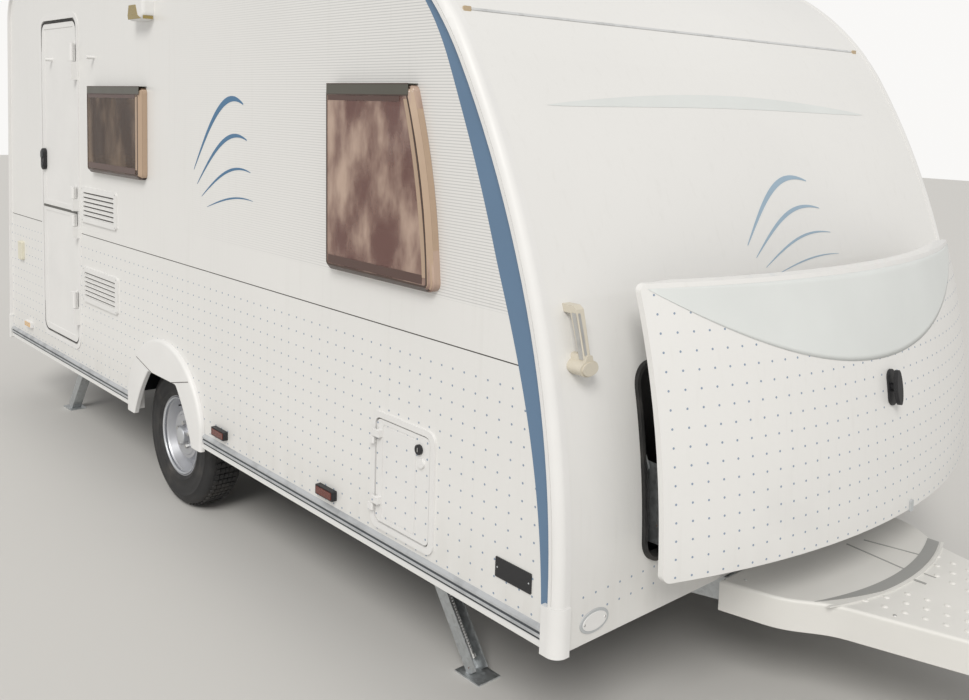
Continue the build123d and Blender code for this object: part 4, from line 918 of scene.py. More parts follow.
class CaravanStageSettings(bpy.types.PropertyGroup):
    """The stage's sizes and light."""

    floor_size: FloatProperty(name="Floor size", description="Side of the square floor", default=60.0,
                              min=10.0, subtype="DISTANCE", unit="LENGTH")
    floor_colour: FloatVectorProperty(name="Floor colour", description="Colour of the floor",
                                      default=(0.62, 0.61, 0.59), size=3, subtype="COLOR", min=0, max=1)
    sky_strength: FloatProperty(name="Sky strength", description="Strength of the even light", default=0.62,
                                min=0.0)
    key_strength: FloatProperty(name="Key strength", description="Strength of the soft key light",
                                default=1.75, min=0.0)


class CaravanGraphicSettings(bpy.types.PropertyGroup):
    """Sizes of the graphics and dots."""

    dot_pitch: FloatProperty(name="Dot pitch", description="Distance between the blue dots", default=0.052,
                             min=0.01, subtype="DISTANCE", unit="LENGTH")
    dot_radius: FloatProperty(name="Dot radius", description="Radius of a blue dot", default=0.0036,
                              min=0.001, subtype="DISTANCE", unit="LENGTH")
    tread_blocks: IntProperty(name="Tread blocks", description="Tread blocks in one row round the tyre",
                              default=66, min=20, max=120)


# Stage

CAMERA_PLACE = (3.457, -3.169, 1.867)
CAMERA_YAW = 139.25
CAMERA_PITCH = 5.95
CAMERA_ROLL = 1.552
IMAGE_W, IMAGE_H = 969, 700
FOCAL_PX = 1001.948
CENTRE_PX = (453.455, 212.437)
SENSOR_MM = 36
SKY_COLOUR = (1.0, 0.99, 0.975)
# Strength of the sky where the camera sees it, directly or through glass
SEEN_SKY = 0.95
KEY_WAY = (0.50, -0.62, 0.72)
KEY_COLOUR = (1.0, 0.98, 0.94)
KEY_SPREAD = 25


class CARAVAN_OT_stage(bpy.types.Operator):
    """Makes the floor, the light and the camera"""

    bl_idname = "caravan.stage"
    bl_label = "Make Stage"

    def execute(self, context):
        settings = context.scene.caravan_stage
        link = context.scene.collection.objects.link
        half = settings.floor_size / 2
        mesh = bpy.data.meshes.new("floor")
        mesh.from_pydata([(-half, -half, 0), (half, -half, 0), (half, half, 0), (-half, half, 0)], [],
                         [(0, 1, 2, 3)])
        ground = Finish("stage_floor", tuple(settings.floor_colour))
        ground.set("Roughness", 0.85)
        mesh.materials.append(ground.material)
        floor = bpy.data.objects.new("floor", mesh)
        link(floor)

        world = bpy.data.worlds.new("studio")
        world.use_nodes = True
        context.scene.world = world
        graph = Graph(world.node_tree)
        rays = graph.add("ShaderNodeLightPath").socket.node.outputs
        direct, through = (Link(graph, rays[name]) for name in ("Is Camera Ray", "Is Transmission Ray"))
        seen = direct.math("MAXIMUM", direct, through)
        background = world.node_tree.nodes["Background"]
        background.inputs["Color"].default_value = (*SKY_COLOUR, 1)
        strength = settings.sky_strength + seen * (SEEN_SKY - settings.sky_strength)
        world.node_tree.links.new(strength.socket, background.inputs["Strength"])

        lamp = bpy.data.lights.new("key", "SUN")
        lamp.energy = settings.key_strength
        lamp.angle = math.radians(KEY_SPREAD)
        lamp.color = KEY_COLOUR
        key = bpy.data.objects.new("key", lamp)
        key.rotation_euler = Vector(KEY_WAY).to_track_quat("Z", "Y").to_euler()
        link(key)

        yaw, pitch, roll = (math.radians(value) for value in (CAMERA_YAW, CAMERA_PITCH, CAMERA_ROLL))
        ahead = Vector((math.cos(pitch) * math.cos(yaw), math.cos(pitch) * math.sin(yaw), -math.sin(pitch)))
        right = ahead.cross(Vector((0, 0, 1))).normalized()
        up = right.cross(ahead)
        rolled_right = right * math.cos(roll) + up * math.sin(roll)
        rolled_up = up * math.cos(roll) - right * math.sin(roll)
        data = bpy.data.cameras.new("camera")
        data.sensor_width = SENSOR_MM
        data.lens = FOCAL_PX / IMAGE_W * data.sensor_width
        data.shift_x = (IMAGE_W / 2 - CENTRE_PX[0]) / IMAGE_W
        data.shift_y = -(IMAGE_H / 2 - CENTRE_PX[1]) / IMAGE_W
        camera = bpy.data.objects.new("camera", data)
        camera.matrix_world = Matrix.Translation(CAMERA_PLACE) @ Matrix(
            (rolled_right, rolled_up, -ahead)).transposed().to_4x4()
        link(camera)
        context.scene.camera = camera
        context.scene.view_settings.view_transform = "Standard"
        return {"FINISHED"}


class CARAVAN_OT_finishes(bpy.types.Operator):
    """Gives every CAD node its finish"""

    bl_idname = "caravan.finishes"
    bl_label = "Finish CAD Nodes"

    def execute(self, context):
        for name, node in NODES.items():
            node.data.materials.clear()
            node.data.materials.append(finish(NODE_FINISH[name]))
        return {"FINISHED"}


# Fields of dots: name, node they lie on, centre, turn, direction and reach of the rays, size of the grid
SIDE_FIELD_X = (REAR_X + FRONT_X) / 2
SIDE_FIELD_Z = 0.775
SIDE_FIELD = (4.680, 0.624)
SIDE_TURN, FRONT_TURN = (math.pi / 2, 0, 0), (0, math.pi / 2, 0)
RIGHT_FIELD, LEFT_FIELD = (((SIDE_FIELD_X, way * (SIDE_Y + 0.1), SIDE_FIELD_Z), SIDE_TURN, (0, -way, 0), 0.45,
                            SIDE_FIELD) for way in (-1, 1))
DOT_FIELDS = (
    ("dots_side_right", "side_wall_right", *RIGHT_FIELD),
    ("dots_flap", "service_flap", *RIGHT_FIELD),
    ("dots_side_left", "side_wall_left", *LEFT_FIELD),
    ("dots_lid", "locker_lid", (FRONT_X + 1.0, 0, 0.972), FRONT_TURN, (-1, 0, 0), 1.2, (0.780, 1.872)),
    ("dots_front", "front_wall", (FRONT_X + 0.4, 0, 0.502), FRONT_TURN, (-1, 0, 0), 0.45, (0.052, 2.288)),
)
DOT_THICKNESS = 0.0006


class CARAVAN_OT_dots(bpy.types.Operator):
    """Prints the small blue dots on the lower sides, the flap, the front and the lid"""

    bl_idname = "caravan.dots"
    bl_label = "Dots"

    def execute(self, context):
        settings = context.scene.caravan_graphics
        for name, node, centre, turn, direction, reach, (width, height) in DOT_FIELDS:
            grown(name, "studs_on_surface", {
                "Target": NODES[node], "Width": width, "Height": height,
                "Columns": round(width / settings.dot_pitch) + 1,
                "Rows": round(height / settings.dot_pitch) + 1, "Centre": centre, "Turn": turn,
                "Direction": direction, "Reach": reach, "Radius": settings.dot_radius,
                "Thickness": DOT_THICKNESS}, node, "dot_blue")
        return {"FINISHED"}


STRIPE_Z = (0.452, 2.42)
TRIM_SEAM_W = 0.0036
BELT_HALF = 0.0016
BELT_DEPTHS = (-0.0014, -0.0006)
# Plate: its place, and its width, height and corner
SIDE_PLATE = (1.5175, 0.550)
SIDE_PLATE_SIZE = (0.147, 0.060, 0.003)


class CARAVAN_OT_side_graphics(bpy.types.Operator):
    """Lays the stripe, the motif and the belt line on both sides, and the plate on the right side"""

    bl_idname = "caravan.side_graphics"
    bl_label = "Side Graphics"

    def execute(self, context):
        for side, way in SIDES:
            node, outwards = "side_wall_" + side, (0, way, 0)
            face_y = way * (SIDE_Y + SKIN)

            def stripe(u, v):
                z = between(STRIPE_Z, v)
                return between((stripe_edge(z), front_x(z, TRIM_W + 0.0008)), u), face_y, z

            def trim_seam(u, v):
                z = between(STRIPE_Z, v)
                return front_x(z, TRIM_W) - TRIM_SEAM_W * (1 - u), way * (SIDE_Y + SKIN * 2.2), z

            sheet_piece("stripe_" + side, node, "stripe_blue", stripe, 4, 60, SKIN, outwards)
            sheet_piece("trim_seam_" + side, node, "seam_dark", trim_seam, 1, 60, SKIN, outwards)
            motif_piece("motif_" + side, node, "motif_blue", outwards,
                        lambda across, up: (MOTIF_SIDE[0] + across, face_y, MOTIF_SIDE[1] + up))
            belt = bmesh.new()
            for span in BELT_SPANS[side]:
                side_box_into(belt, way, span, BELT_DEPTHS, (BELT_Z - BELT_HALF, BELT_Z + BELT_HALF))
            piece("belt_line_" + side, belt, node, "seam_dark")

        plate = bmesh.new()
        cap_into(plate, rounded_outline(*SIDE_PLATE_SIZE), *SIDE_PLATE, -1, SKIN, 0.0035, 0.001)
        piece("side_plate", plate, "side_wall_right", "plate_black")
        return {"FINISHED"}


# The front's grey lens shape: its span across, height and rise of its middle, greatest width
SWOOSH_Y = (-0.995, 0.915)
SWOOSH_Z, SWOOSH_RISE, SWOOSH_W = 1.884, 0.030, 0.046
SEAM_RAIL_Y = (-1.150, 1.120)
SEAM_RAIL_ENDS = (-1.170, 1.138)
SEAM_END_SIZE = (0.030, 0.016, 0.004)
# Oval plate: its place and its half width and height
OVAL_PLATE = (-1.095, 0.446)
OVAL_HALVES = (0.060, 0.034)
# The lid's lens shape: gap at its ends, gap under the lid's top edge, greatest depth
LENS_END, LENS_TOP, LENS_DEPTH = 0.022, 0.014, 0.276


class CARAVAN_OT_front_graphics(bpy.types.Operator):
    """Lays the lenses, the motif, the seam rail and the oval plate on the front and on the lid"""

    bl_idname = "caravan.front_graphics"
    bl_label = "Front Graphics"

    def execute(self, context):
        wall, ahead = "front_wall", (1, 0, 0)

        def swoosh(u, v):
            y = between(SWOOSH_Y, u)
            middle = SWOOSH_Z + SWOOSH_RISE * math.sin(math.pi * u)
            return wall_point(y, middle + (v - 0.5) * SWOOSH_W * math.sin(math.pi * u) ** 0.7, SKIN)

        def seam(u, v):
            return wall_point(between(SEAM_RAIL_Y, u), SEAM_Z - 0.010 + 0.008 * v, 0.0002)

        def lens(u, v):
            half = LID_HALF - LENS_END
            y = between((-half, half), u)
            top = LID_HIGH.z - LENS_TOP
            low = top - LENS_DEPTH * (1 - (y / half) ** 2) - 0.002
            return lid_point(y, between((low, top), v), SKIN)

        sheet_piece("front_swoosh", wall, "lens_grey", swoosh, 48, 2, SKIN, ahead)
        motif_piece("motif_front", wall, "motif_pale", ahead, lambda across, up: wall_point(
            MOTIF_FRONT[0] + across * 1.15, MOTIF_FRONT[1] + up * 0.72, SKIN))
        sheet_piece("seam_rail", wall, "drawn_aluminium", seam, 2, 2, 0.0022, ahead)
        ends = bmesh.new()
        for y in SEAM_RAIL_ENDS:
            prism_into(ends, rounded_outline(*SEAM_END_SIZE), wall_point(y, SEAM_Z - 0.008, 0.0002),
                       (0, 1, 0), (0, 0, 1), 0.006)
        piece("seam_rail_ends", ends, wall, "end_cap_tan")

        oval = oval_outline(*OVAL_HALVES, 40)
        place = Vector(wall_point(*OVAL_PLATE, 0.0002))
        ring, plate = bmesh.new(), bmesh.new()
        front_cap_into(ring, oval, place, 0.003, 0.0015)
        piece("front_plate_ring", ring, wall, "plate_grey")
        inner = [(u * 0.84, v * 0.76) for u, v in oval]
        front_cap_into(plate, inner, place + Vector((0.0025, 0, 0)), 0.002, 0.001)
        piece("front_plate", plate, wall, "trim_moulding")
        sheet_piece("lid_lens", "locker_lid", "lens_grey", lens, 64, 16, SKIN * 2, ahead, smooth=True)
        return {"FINISHED"}


# Drawbar cover: ends of its bowed front edge, and how much that edge falls back with y squared
COVER_Y = (-0.385, 0.375)
COVER_BOW = 0.45
# Grey band and rim along that edge: place in the middle and width
BAND_X, BAND_W = 2.041, 0.041
RIM_X, RIM_W = 2.088, 0.010
COVER_FACE = COVER_TOP + 0.0002
# Grips in the cover's lid: their two sides
COVER_GRIP_X = (2.098, 2.136)
COVER_GRIPS = ((0.080, 0.085), (0.006, 0.018))
# Joints in the cover's left half: where each starts and ends
COVER_JOINTS = (((1.824, 0.093), (2.040, 0.062)), ((1.845, 0.174), (2.024, 0.213)))
COVER_STUDS = tuple(((2.068 + 0.056 * row + 0.031 * column, side * (0.252 - 0.075 * column - 0.0125 * row),
                      COVER_TOP), (0, 0, 1))
                    for side in (-1, 1) for row in range(7) for column in range(3))


class CARAVAN_OT_drawbar_cover(bpy.types.Operator):
    """Lays the grey arc, the rim, the joint lines, the grips and the studs on the drawbar cover"""

    bl_idname = "caravan.drawbar_cover"
    bl_label = "Drawbar Cover"

    def execute(self, context):
        node, up = "drawbar_cover", (0, 0, 1)

        def arc(u, v):
            y = between(COVER_Y, u)
            width = BAND_W * min(1, (y + 0.386) / 0.24) ** 0.8
            return BAND_X - COVER_BOW * y * y + width * v, y, COVER_FACE

        def rim(u, v):
            y = between(COVER_Y, u)
            return RIM_X - COVER_BOW * y * y + RIM_W * v - 0.03 * max(0, -y - 0.18), y, COVER_FACE

        sheet_piece("cover_band", node, "band_grey", arc, 40, 2, 0.0010, up)
        sheet_piece("cover_rim", node, "cover_plastic", rim, 40, 2, 0.0040, up)
        joints, grips = bmesh.new(), bmesh.new()
        for start, end in COVER_JOINTS:
            first, last = Vector(start), Vector(end)
            across = (last - first).normalized()
            normal = Vector((-across.y, across.x)) * 0.003
            outline = [first - normal, last - normal, last + normal, first + normal]
            loft_into(joints, [[(x, y, z) for x, y in outline] for z in (COVER_FACE, COVER_TOP + 0.0016)])
        for y_low, y_high in COVER_GRIPS:
            box_into(grips, (COVER_GRIP_X[0], y_low, COVER_FACE),
                     (COVER_GRIP_X[1], y_high, COVER_TOP + 0.0014))
        piece("cover_joints", joints, node, "band_grey")
        piece("cover_grips", grips, node, "band_grey")
        heads("cover_studs", node, "cover_plastic", 0.0100, COVER_STUDS)
        return {"FINISHED"}


# Wheel arches

# Outer outline, and the narrower opening that bows in to a flat top
ARCH_HALF = 0.385
ARCH_LOW = SKIRT_Z - 0.018
ARCH_SHOULDER = SKIRT_Z + 0.095
ARCH_TOP = SKIRT_Z + 0.395
ARCH_PROUD = 0.022
ARCH_ROUND = 0.014
ARCH_CORNER = 0.024
ARCH_OPEN_TOP = SKIRT_Z + 0.223
ARCH_OPEN = ((0.300, ARCH_LOW), (0.238, (ARCH_LOW + ARCH_OPEN_TOP) / 2), (0.145, ARCH_OPEN_TOP))
ARCH_JOINT = ((0.104, SKIRT_Z + 0.2245), (0.272, SKIRT_Z + 0.2655))
ARCH_STATIONS = 97


def arc_points(first, middle, last, steps):
    """Points of the arc through three points."""
    ax, ay, bx, by, cx, cy = *first, *middle, *last
    d = 2 * (ax * (by - cy) + bx * (cy - ay) + cx * (ay - by))
    squares = (ax * ax + ay * ay, bx * bx + by * by, cx * cx + cy * cy)
    centre = Vector(((squares[0] * (by - cy) + squares[1] * (cy - ay) + squares[2] * (ay - by)) / d,
                     (squares[0] * (cx - bx) + squares[1] * (ax - cx) + squares[2] * (bx - ax)) / d))
    start, end = Vector(first) - centre, Vector(last) - centre
    turn = -start.angle_signed(end)
    return [tuple(centre + Matrix.Rotation(turn * step / steps, 2) @ start) for step in range(steps + 1)]


def evenly(points, count):
    """Points spread evenly along a line through points."""
    lengths = [0.0]
    for before, after in zip(points, points[1:]):
        lengths.append(lengths[-1] + math.dist(before, after))
    spread, index = [], 0
    for step in range(count):
        wanted = lengths[-1] * step / (count - 1)
        while index < len(points) - 2 and lengths[index + 1] < wanted:
            index += 1
        share = (wanted - lengths[index]) / (lengths[index + 1] - lengths[index])
        spread.append(Vector(points[index]).lerp(Vector(points[index + 1]), min(max(share, 0), 1)))
    return spread


def corner_points(before, corner, after, radius, steps=5):
    """Points of a round corner between two straight edges of an anticlockwise outline."""
    corner = Vector(corner)
    start, end = (Vector(before) - corner).normalized(), (Vector(after) - corner).normalized()
    half = start.angle(end) / 2
    centre = corner + (start + end).normalized() * radius / math.sin(half)
    first = corner + start * radius / math.tan(half) - centre
    turn = math.pi - 2 * half
    return [tuple(centre + Matrix.Rotation(turn * step / steps, 2) @ first) for step in range(steps + 1)]


class CARAVAN_OT_arches(bpy.types.Operator):
    """Forms the moulded wheel arches with their narrow openings and joints"""

    bl_idname = "caravan.arches"
    bl_label = "Wheel Arches"

    def execute(self, context):
        crown = arc_points((ARCH_HALF, ARCH_SHOULDER), (0, ARCH_TOP), (-ARCH_HALF, ARCH_SHOULDER), 48)
        outer = evenly([(ARCH_HALF, ARCH_LOW), *crown, (-ARCH_HALF, ARCH_LOW)], ARCH_STATIONS)
        leg = arc_points(*ARCH_OPEN, 14)
        half = leg[:-1] + corner_points(leg[-2], leg[-1], (-0.1, ARCH_OPEN_TOP), ARCH_CORNER)
        inner = evenly(half + [(-x, z) for x, z in reversed(half)], ARCH_STATIONS)
        (x_start, z_start), (x_end, z_end) = ARCH_JOINT
        joint = [(x_start, z_start - 0.0016), (x_end, z_end - 0.0016), (x_end, z_end + 0.0016),
                 (x_start, z_start + 0.0016)]
        shapes, joints = bmesh.new(), bmesh.new()
        for way in (-1, 1):
            rings = []
            for within, without in zip(inner, outer):
                out = (without - within).normalized()
                section = [(within, 0.0), (within, ARCH_PROUD - 0.003), (within + out * 0.003, ARCH_PROUD)]
                for step in range(5):
                    angle = math.radians(90) * step / 4
                    section.append((without - out * ARCH_ROUND * (1 - math.sin(angle)),
                                    ARCH_PROUD - ARCH_ROUND * (1 - math.cos(angle))))
                section.append((without, 0.0))
                rings.append([(AXLE.x + at.x, way * (SIDE_Y + lift + SKIN), at.y) for at, lift in section])
            loft_into(shapes, rings)
            for side in (-1, 1):
                plate_into(joints, [(AXLE.x + side * x, z) for x, z in joint], way, ARCH_PROUD + 0.0005,
                           ARCH_PROUD + 0.0010)
        made = piece("arch_mouldings", shapes, "wheel_arches", "trim_moulding", smooth=True)
        made.data.set_sharp_from_angle(angle=math.radians(40))
        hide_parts("wheel_arches")
        piece("arch_joints", joints, "wheel_arches", "seam_dark")
        return {"FINISHED"}


# Windows

# Side, rear and front edge at the bottom, the same at the top, lowest and highest Z
WINDOWS = {
    "right_front": (-1, 0.580, 1.164, 0.565, 1.034, 1.307, 1.935),
    "right_middle": (-1, -1.598, -0.953, -1.598, -0.953, 1.497, 1.923),
    "left_front": (1, 0.580, 1.164, 0.565, 1.034, 1.307, 1.935),
    "left_rear": (1, -2.495, -1.745, -2.495, -1.745, 1.400, 1.923),
}
WINDOW_PROUD = 0.038
WINDOW_CHAMFER = 0.014
WINDOW_CORNER = 0.028
WINDOW_BOW = 0.022
# The shapes on the windows, each over all of them, and their finishes
WINDOW_SHAPES = {
    "window_rims": "window_edge", "window_sills": "window_sill", "window_tops": "window_sill",
    "rear_window_rail": "rail_dark", "window_hinge_rails": "window_olive", "window_glow": "window_glow",
    "window_stays": "black_plastic",
}
# Strips along the top edge: shape, distances from the side's face, low and high edge over the pane's top
RAIL_STRIPS = (
    ("window_hinge_rails", (0.0384, 0.0396), (-0.031, 0.0030)),
    ("window_hinge_rails", (0.0, 0.0396), (0.0008, 0.0036)),
    ("window_rims", (0.0384, 0.0399), (-0.0345, -0.0310)),
    ("window_rims", (0.0384, 0.0399), (0.0004, 0.0040)),
)
# A stay's post and foot: half length, distances from the face, low and high edge over the pane's foot
STAY_BOXES = ((0.012, (-0.034, 0.018), 0.030, 0.058), (0.028, (-0.022, 0.006), 0.058, 0.068))
CURTAIN_W = 0.115
CURTAIN_FOLD = 0.046
CURTAIN_DEPTH = 0.016
CURTAIN_GAP = 0.075


def part_into(bm, node, keep):
    """A CAD node's mesh, with only the faces whose middle is kept, into an empty bmesh."""
    bm.from_mesh(NODES[node].data)
    dropped = [face for face in bm.faces if not keep(face.calc_center_median())]
    bmesh.ops.delete(bm, geom=dropped, context="FACES")


def inset_outline(outline, amount):
    """An outline that runs round anticlockwise, moved inwards."""
    points = [Vector(point) for point in outline]
    moved_in = []
    for index, point in enumerate(points):
        before, after = points[index - 1], points[(index + 1) % len(points)]
        normals = []
        for start, end in ((before, point), (point, after)):
            along = (end - start).normalized()
            normals.append(Vector((-along.y, along.x)))
        bisector = (normals[0] + normals[1]).normalized()
        moved_in.append(tuple(point + bisector * amount / max(bisector.dot(normals[0]), 0.5)))
    return moved_in


def band_into(bm, outline, inner, place_at, low, high):
    """A closed flat band between an outline and a smaller one; place_at(u, v, lift) gives its points."""
    loft_into(bm, [[place_at(u, v, lift) for u, v in points]
                   for points, lift in ((outline, low), (inner, low), (inner, high), (outline, high))],
              closed=True)


def window_outline(name):
    """A side window's outline as (x, z) pairs, with its bowed front edge."""
    low_rear, low_front, high_rear, high_front, z_low, z_high = WINDOWS[name][1:]
    corners = [(low_rear, z_low), (low_front, z_low), (high_front, z_high), (high_rear, z_high)]
    points = []
    for index, corner in enumerate(corners):
        turned = corner_points(corners[index - 1], corner, corners[(index + 1) % 4], WINDOW_CORNER)
        if index == 2 and low_front != high_front:
            start, end = Vector(points[-1]), Vector(turned[0])
            normal = Vector((end.y - start.y, start.x - end.x)).normalized()
            for step in range(1, 8):
                share = step / 8
                bow = WINDOW_BOW * 4 * share * (1 - share)
                points.append(tuple(start.lerp(end, share) + normal * bow))
        points += turned
    return points


def curtain(name, way, x_low, z_low, z_high):
    """One gathered curtain inside a side window."""
    folds = CURTAIN_W / CURTAIN_FOLD

    def cloth(u, v):
        swing = math.sin(math.tau * folds * u) * CURTAIN_DEPTH * (0.75 + 0.25 * (1 - v))
        slack = 0.004 * math.sin(5 * v + 9 * u)
        return (x_low + CURTAIN_W * u, way * (SIDE_Y - CURTAIN_GAP + swing),
                between((z_low, z_high), v) + slack * 0.5)

    columns = 48
    line = [Vector(cloth(step / columns, 0.5)) for step in range(columns + 1)]
    made = sheet_piece(name, "window_panes", "curtain_cloth", cloth, columns, 12, 0.0016, (0, way, 0),
                       smooth=True)


class CARAVAN_OT_windows(bpy.types.Operator):
    """Adds the edge bands, the seals and the stays to the windows, and the gathered curtains inside"""

    bl_idname = "caravan.windows"
    bl_label = "Windows"

    def execute(self, context):
        shapes = {name: bmesh.new() for name in WINDOW_SHAPES}
        rims, glows, stays = (shapes["window_" + name] for name in ("rims", "glow", "stays"))
        for name, row in WINDOWS.items():
            way, low_rear, low_front, high_rear, high_front, z_low, z_high = row

            def place(x, z, lift):
                return x, way * (SIDE_Y + lift), z

            # A painted highlight on the pane just inside its front edge
            def glow(u, v):
                z = between((z_low + 0.045, z_high - 0.045), v)
                share = (z - z_low) / (z_high - z_low)
                bow = WINDOW_BOW * 4 * share * (1 - share) if low_front != high_front else 0.0
                x = between((low_front, high_front), share) + bow - 0.024 - 0.018 * u
                return place(x, z, WINDOW_PROUD + 0.0002)

            outline = window_outline(name)
            face = inset_outline(outline, WINDOW_CHAMFER + 0.001)
            count = len(outline)
            middle = sum(u for u, v in outline) / count
            chamfer_low = WINDOW_PROUD - WINDOW_CHAMFER
            band_into(rims, face, inset_outline(face, 0.006), place, WINDOW_PROUD + 0.0002,
                      WINDOW_PROUD + 0.0012)
            for index in range(count):
                following = (index + 1) % count
                (u0, v0), (u1, v1) = outline[index], outline[following]
                # The chamfer along the front edge, and its side, take the painted highlight; the others take
                # the rim's colour
                front = u0 > middle and abs(v1 - v0) > abs(u1 - u0)
                target, shift = (glows, 0.0020) if front else (rims, 0.0)
                quad = ((u0, v0, chamfer_low), (u1, v1, chamfer_low), (*face[following], WINDOW_PROUD),
                        (*face[index], WINDOW_PROUD))
                loft_into(target, [[place(u + shift, v, lift + extra) for u, v, lift in quad]
                                   for extra in (0.0006, 0.0012)])
                if front:
                    wall = ((u0, v0, 0.001), (u1, v1, 0.001), (u1, v1, chamfer_low), (u0, v0, chamfer_low))
                    loft_into(target, [[place(u + extra, v, lift) for u, v, lift in wall]
                                       for extra in (0.0012, 0.0020)])
            for shape, lifts, (low, high) in RAIL_STRIPS:
                side_box_into(shapes[shape], way, (high_rear + 0.017, high_front - 0.004), lifts,
                              (z_high + low, z_high + high))
            for shape, rear, front, low, high in (
                    ("window_sills", low_rear, low_front, z_low + 0.024, z_low + 0.052),
                    ("window_tops", high_rear, high_front, z_high - 0.052, z_high - 0.036)):
                side_box_into(shapes[shape], way, (rear + 0.026, front - 0.046), (0.0384, 0.0390),
                              (low, high))
            band_into(rims, outline, inset_outline(outline, 0.003), place, -0.0005, 0.0035)
            sheet_into(glows, glow, 2, 12, 0.0008, (0, way, 0))
            for share in (0.2, 0.8):
                x = between((low_rear, low_front), share)
                for half, lifts, low, high in STAY_BOXES:
                    side_box_into(stays, way, (x - half, x + half), lifts, (z_low + low, z_low + high))
        part_into(shapes["rear_window_rail"], "window_rails", lambda at: at.x < REAR_X + 0.3)
        for name, shape in shapes.items():
            made = piece(name, shape, "window_panes", WINDOW_SHAPES[name])
            if name == "window_hinge_rails":
                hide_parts("window_rails")
        for name, (way, low_rear, low_front, high_rear, high_front, z_low, z_high) in WINDOWS.items():
            for end, x_low in (("rear", low_rear - 0.02), ("ahead", high_front - CURTAIN_W)):
                curtain(f"curtain_{name}_{end}", way, x_low, z_low - 0.04, z_high + 0.02)
        return {"FINISHED"}


# Door and flap

DOOR_X = (-2.3485, -1.8275)
DOOR_Z = (0.5500, 2.2780)
DOOR_CORNER = 0.050
DOOR_SEAL_REACH = 0.16
HANDLE_X, HANDLE_Z = -2.317, 1.521
LOCK_X, LOCK_Z = 1.087, 0.797
# Domed plates on the right side: name, node, finish, slot and rows of
# (width, height, corner, x, z, distance from the face, depth, rounding)
DOOR_CAPS = (
    ("door_handle_plate", "door_upper", "black_plastic", "seal_black", (
        (0.050, 0.120, 0.0249, HANDLE_X, HANDLE_Z, -0.0008, 0.0200, 0.004),)),
    ("door_handle_knobs", "door_upper", "cast_paint", None, (
        (0.030, 0.048, 0.0149, HANDLE_X, HANDLE_Z + 0.026, 0.0193, 0.006, 0.003),
        (0.024, 0.030, 0.0119, HANDLE_X, HANDLE_Z - 0.030, 0.0193, 0.004, 0.002))),
    ("flap_lock", "service_flap", "black_plastic", None, (
        (0.033, 0.033, 0.0164, LOCK_X, LOCK_Z, 0.0050, 0.0095, 0.002),)),
    ("flap_lock_slot", "service_flap", "bright_steel", None, (
        (0.004, 0.014, 0.0015, LOCK_X, LOCK_Z, 0.0146, 0.0008, 0.0004),)),
)
# Rubber seals along the leaves' far edges, widened by painted shade under the frame: name, node, whether on
# top, greatest width
DOOR_SEALS = (("door_top_seal", "door_upper", True, 0.013), ("door_low_seal", "door_lower", False, 0.006))
# Fridge vents: low rear corner of each, its slots and their pitch
VENT_CORNERS = ((-1.755, 1.225), (-1.745, 0.806))
VENT_SLOTS = 6
VENT_PITCH = 0.02333


def door_edge(top):
    """The leaf's edge, anticlockwise over its top or under its bottom."""
    first, last = reversed(DOOR_X) if top else DOOR_X
    z, down = (DOOR_Z[1], -1) if top else (DOOR_Z[0], 1)
    start, end = (first, z + down * DOOR_SEAL_REACH), (last, z + down * DOOR_SEAL_REACH)
    return [start, *corner_points(start, (first, z), (last, z), DOOR_CORNER, 8),
            *corner_points((first, z), (last, z), end, DOOR_CORNER, 8), end]


class CARAVAN_OT_door_fittings(bpy.types.Operator):
    """Adds the door handle, the flap's lock, the leaves' seals widened by painted shade, and painted shade in
    the vents' slots
    """

    bl_idname = "caravan.door_fittings"
    bl_label = "Door Fittings"

    def execute(self, context):
        for name, node, finish_name, slot, rows in DOOR_CAPS:
            bm = bmesh.new()
            for width, height, corner, *place in rows:
                x, z, low, depth, round_by = place
                cap_into(bm, rounded_outline(width, height, corner), x, z, -1, low, depth, round_by)
            piece(name, bm, node, finish_name)

        split, gaps = bmesh.new(), bmesh.new()
        low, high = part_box("door_lower")
        side_box_into(split, -1, (low.x + 0.006, DOOR_HIGH.x - 0.016), (0.0005, 0.0036),
                      (high.z - 0.0080, high.z + 0.0040))
        piece("door_split_seal", split, "door_lower", "seal_grey")
        for name, node, top, widest in DOOR_SEALS:
            path = door_edge(top)
            middle = Vector((sum(DOOR_X) / 2, path[len(path) // 2][1] + (-0.4 if top else 0.4)))

            # A dark strip, widest in the middle: the rubber seal, widened by painted shade under the frame's
            # rim
            def seal(u, v):
                at = Vector(path[round(u * (len(path) - 1))])
                width = widest * math.sin(math.pi * u) ** 0.4 + 0.001
                spot = at + (middle - at).normalized() * width * v
                return spot.x, -SIDE_Y - 0.0026, spot.y

            sheet_piece(name, node, "seal_rubber", seal, len(path) - 1, 1, 0.0006, (0, -1, 0))
        # Dark plates on the floors of the vents' slots: painted shade in the slots
        for x, z_low in VENT_CORNERS:
            for slot in range(VENT_SLOTS):
                z = z_low + 0.022 + VENT_PITCH * (slot + 0.5)
                side_box_into(gaps, -1, (x + 0.026, x + 0.424), (0.0021, 0.0030), (z - 0.0012, z + 0.0062))
        piece("vent_gaps", gaps, "fridge_vents", "seam_dark")
        return {"FINISHED"}


# Lamps

# On the sides: name, finish, base finish, rear edge, low edge, length, depth of the solid under it
SIDE_LAMPS = (
    ("reflector_rear", "lamp_orange", "black_plastic", AXLE.x + 0.484, 0.479, 0.105, 0.020),
    ("reflector_front", "lamp_orange", "black_plastic", AXLE.x + 1.283, 0.479, 0.105, 0.020),
    ("marker", "lamp_pale", "trim_moulding", REAR_X + 0.321, 0.505, 0.100, 0.018),
)
SIDE_LAMP_H = 0.032
# The rear wall's box and lean
REAR_LOW, REAR_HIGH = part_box("rear_wall")
REAR_LEAN = math.atan2(REAR_HIGH.x - 0.030 - REAR_LOW.x, REAR_HIGH.z - REAR_LOW.z)
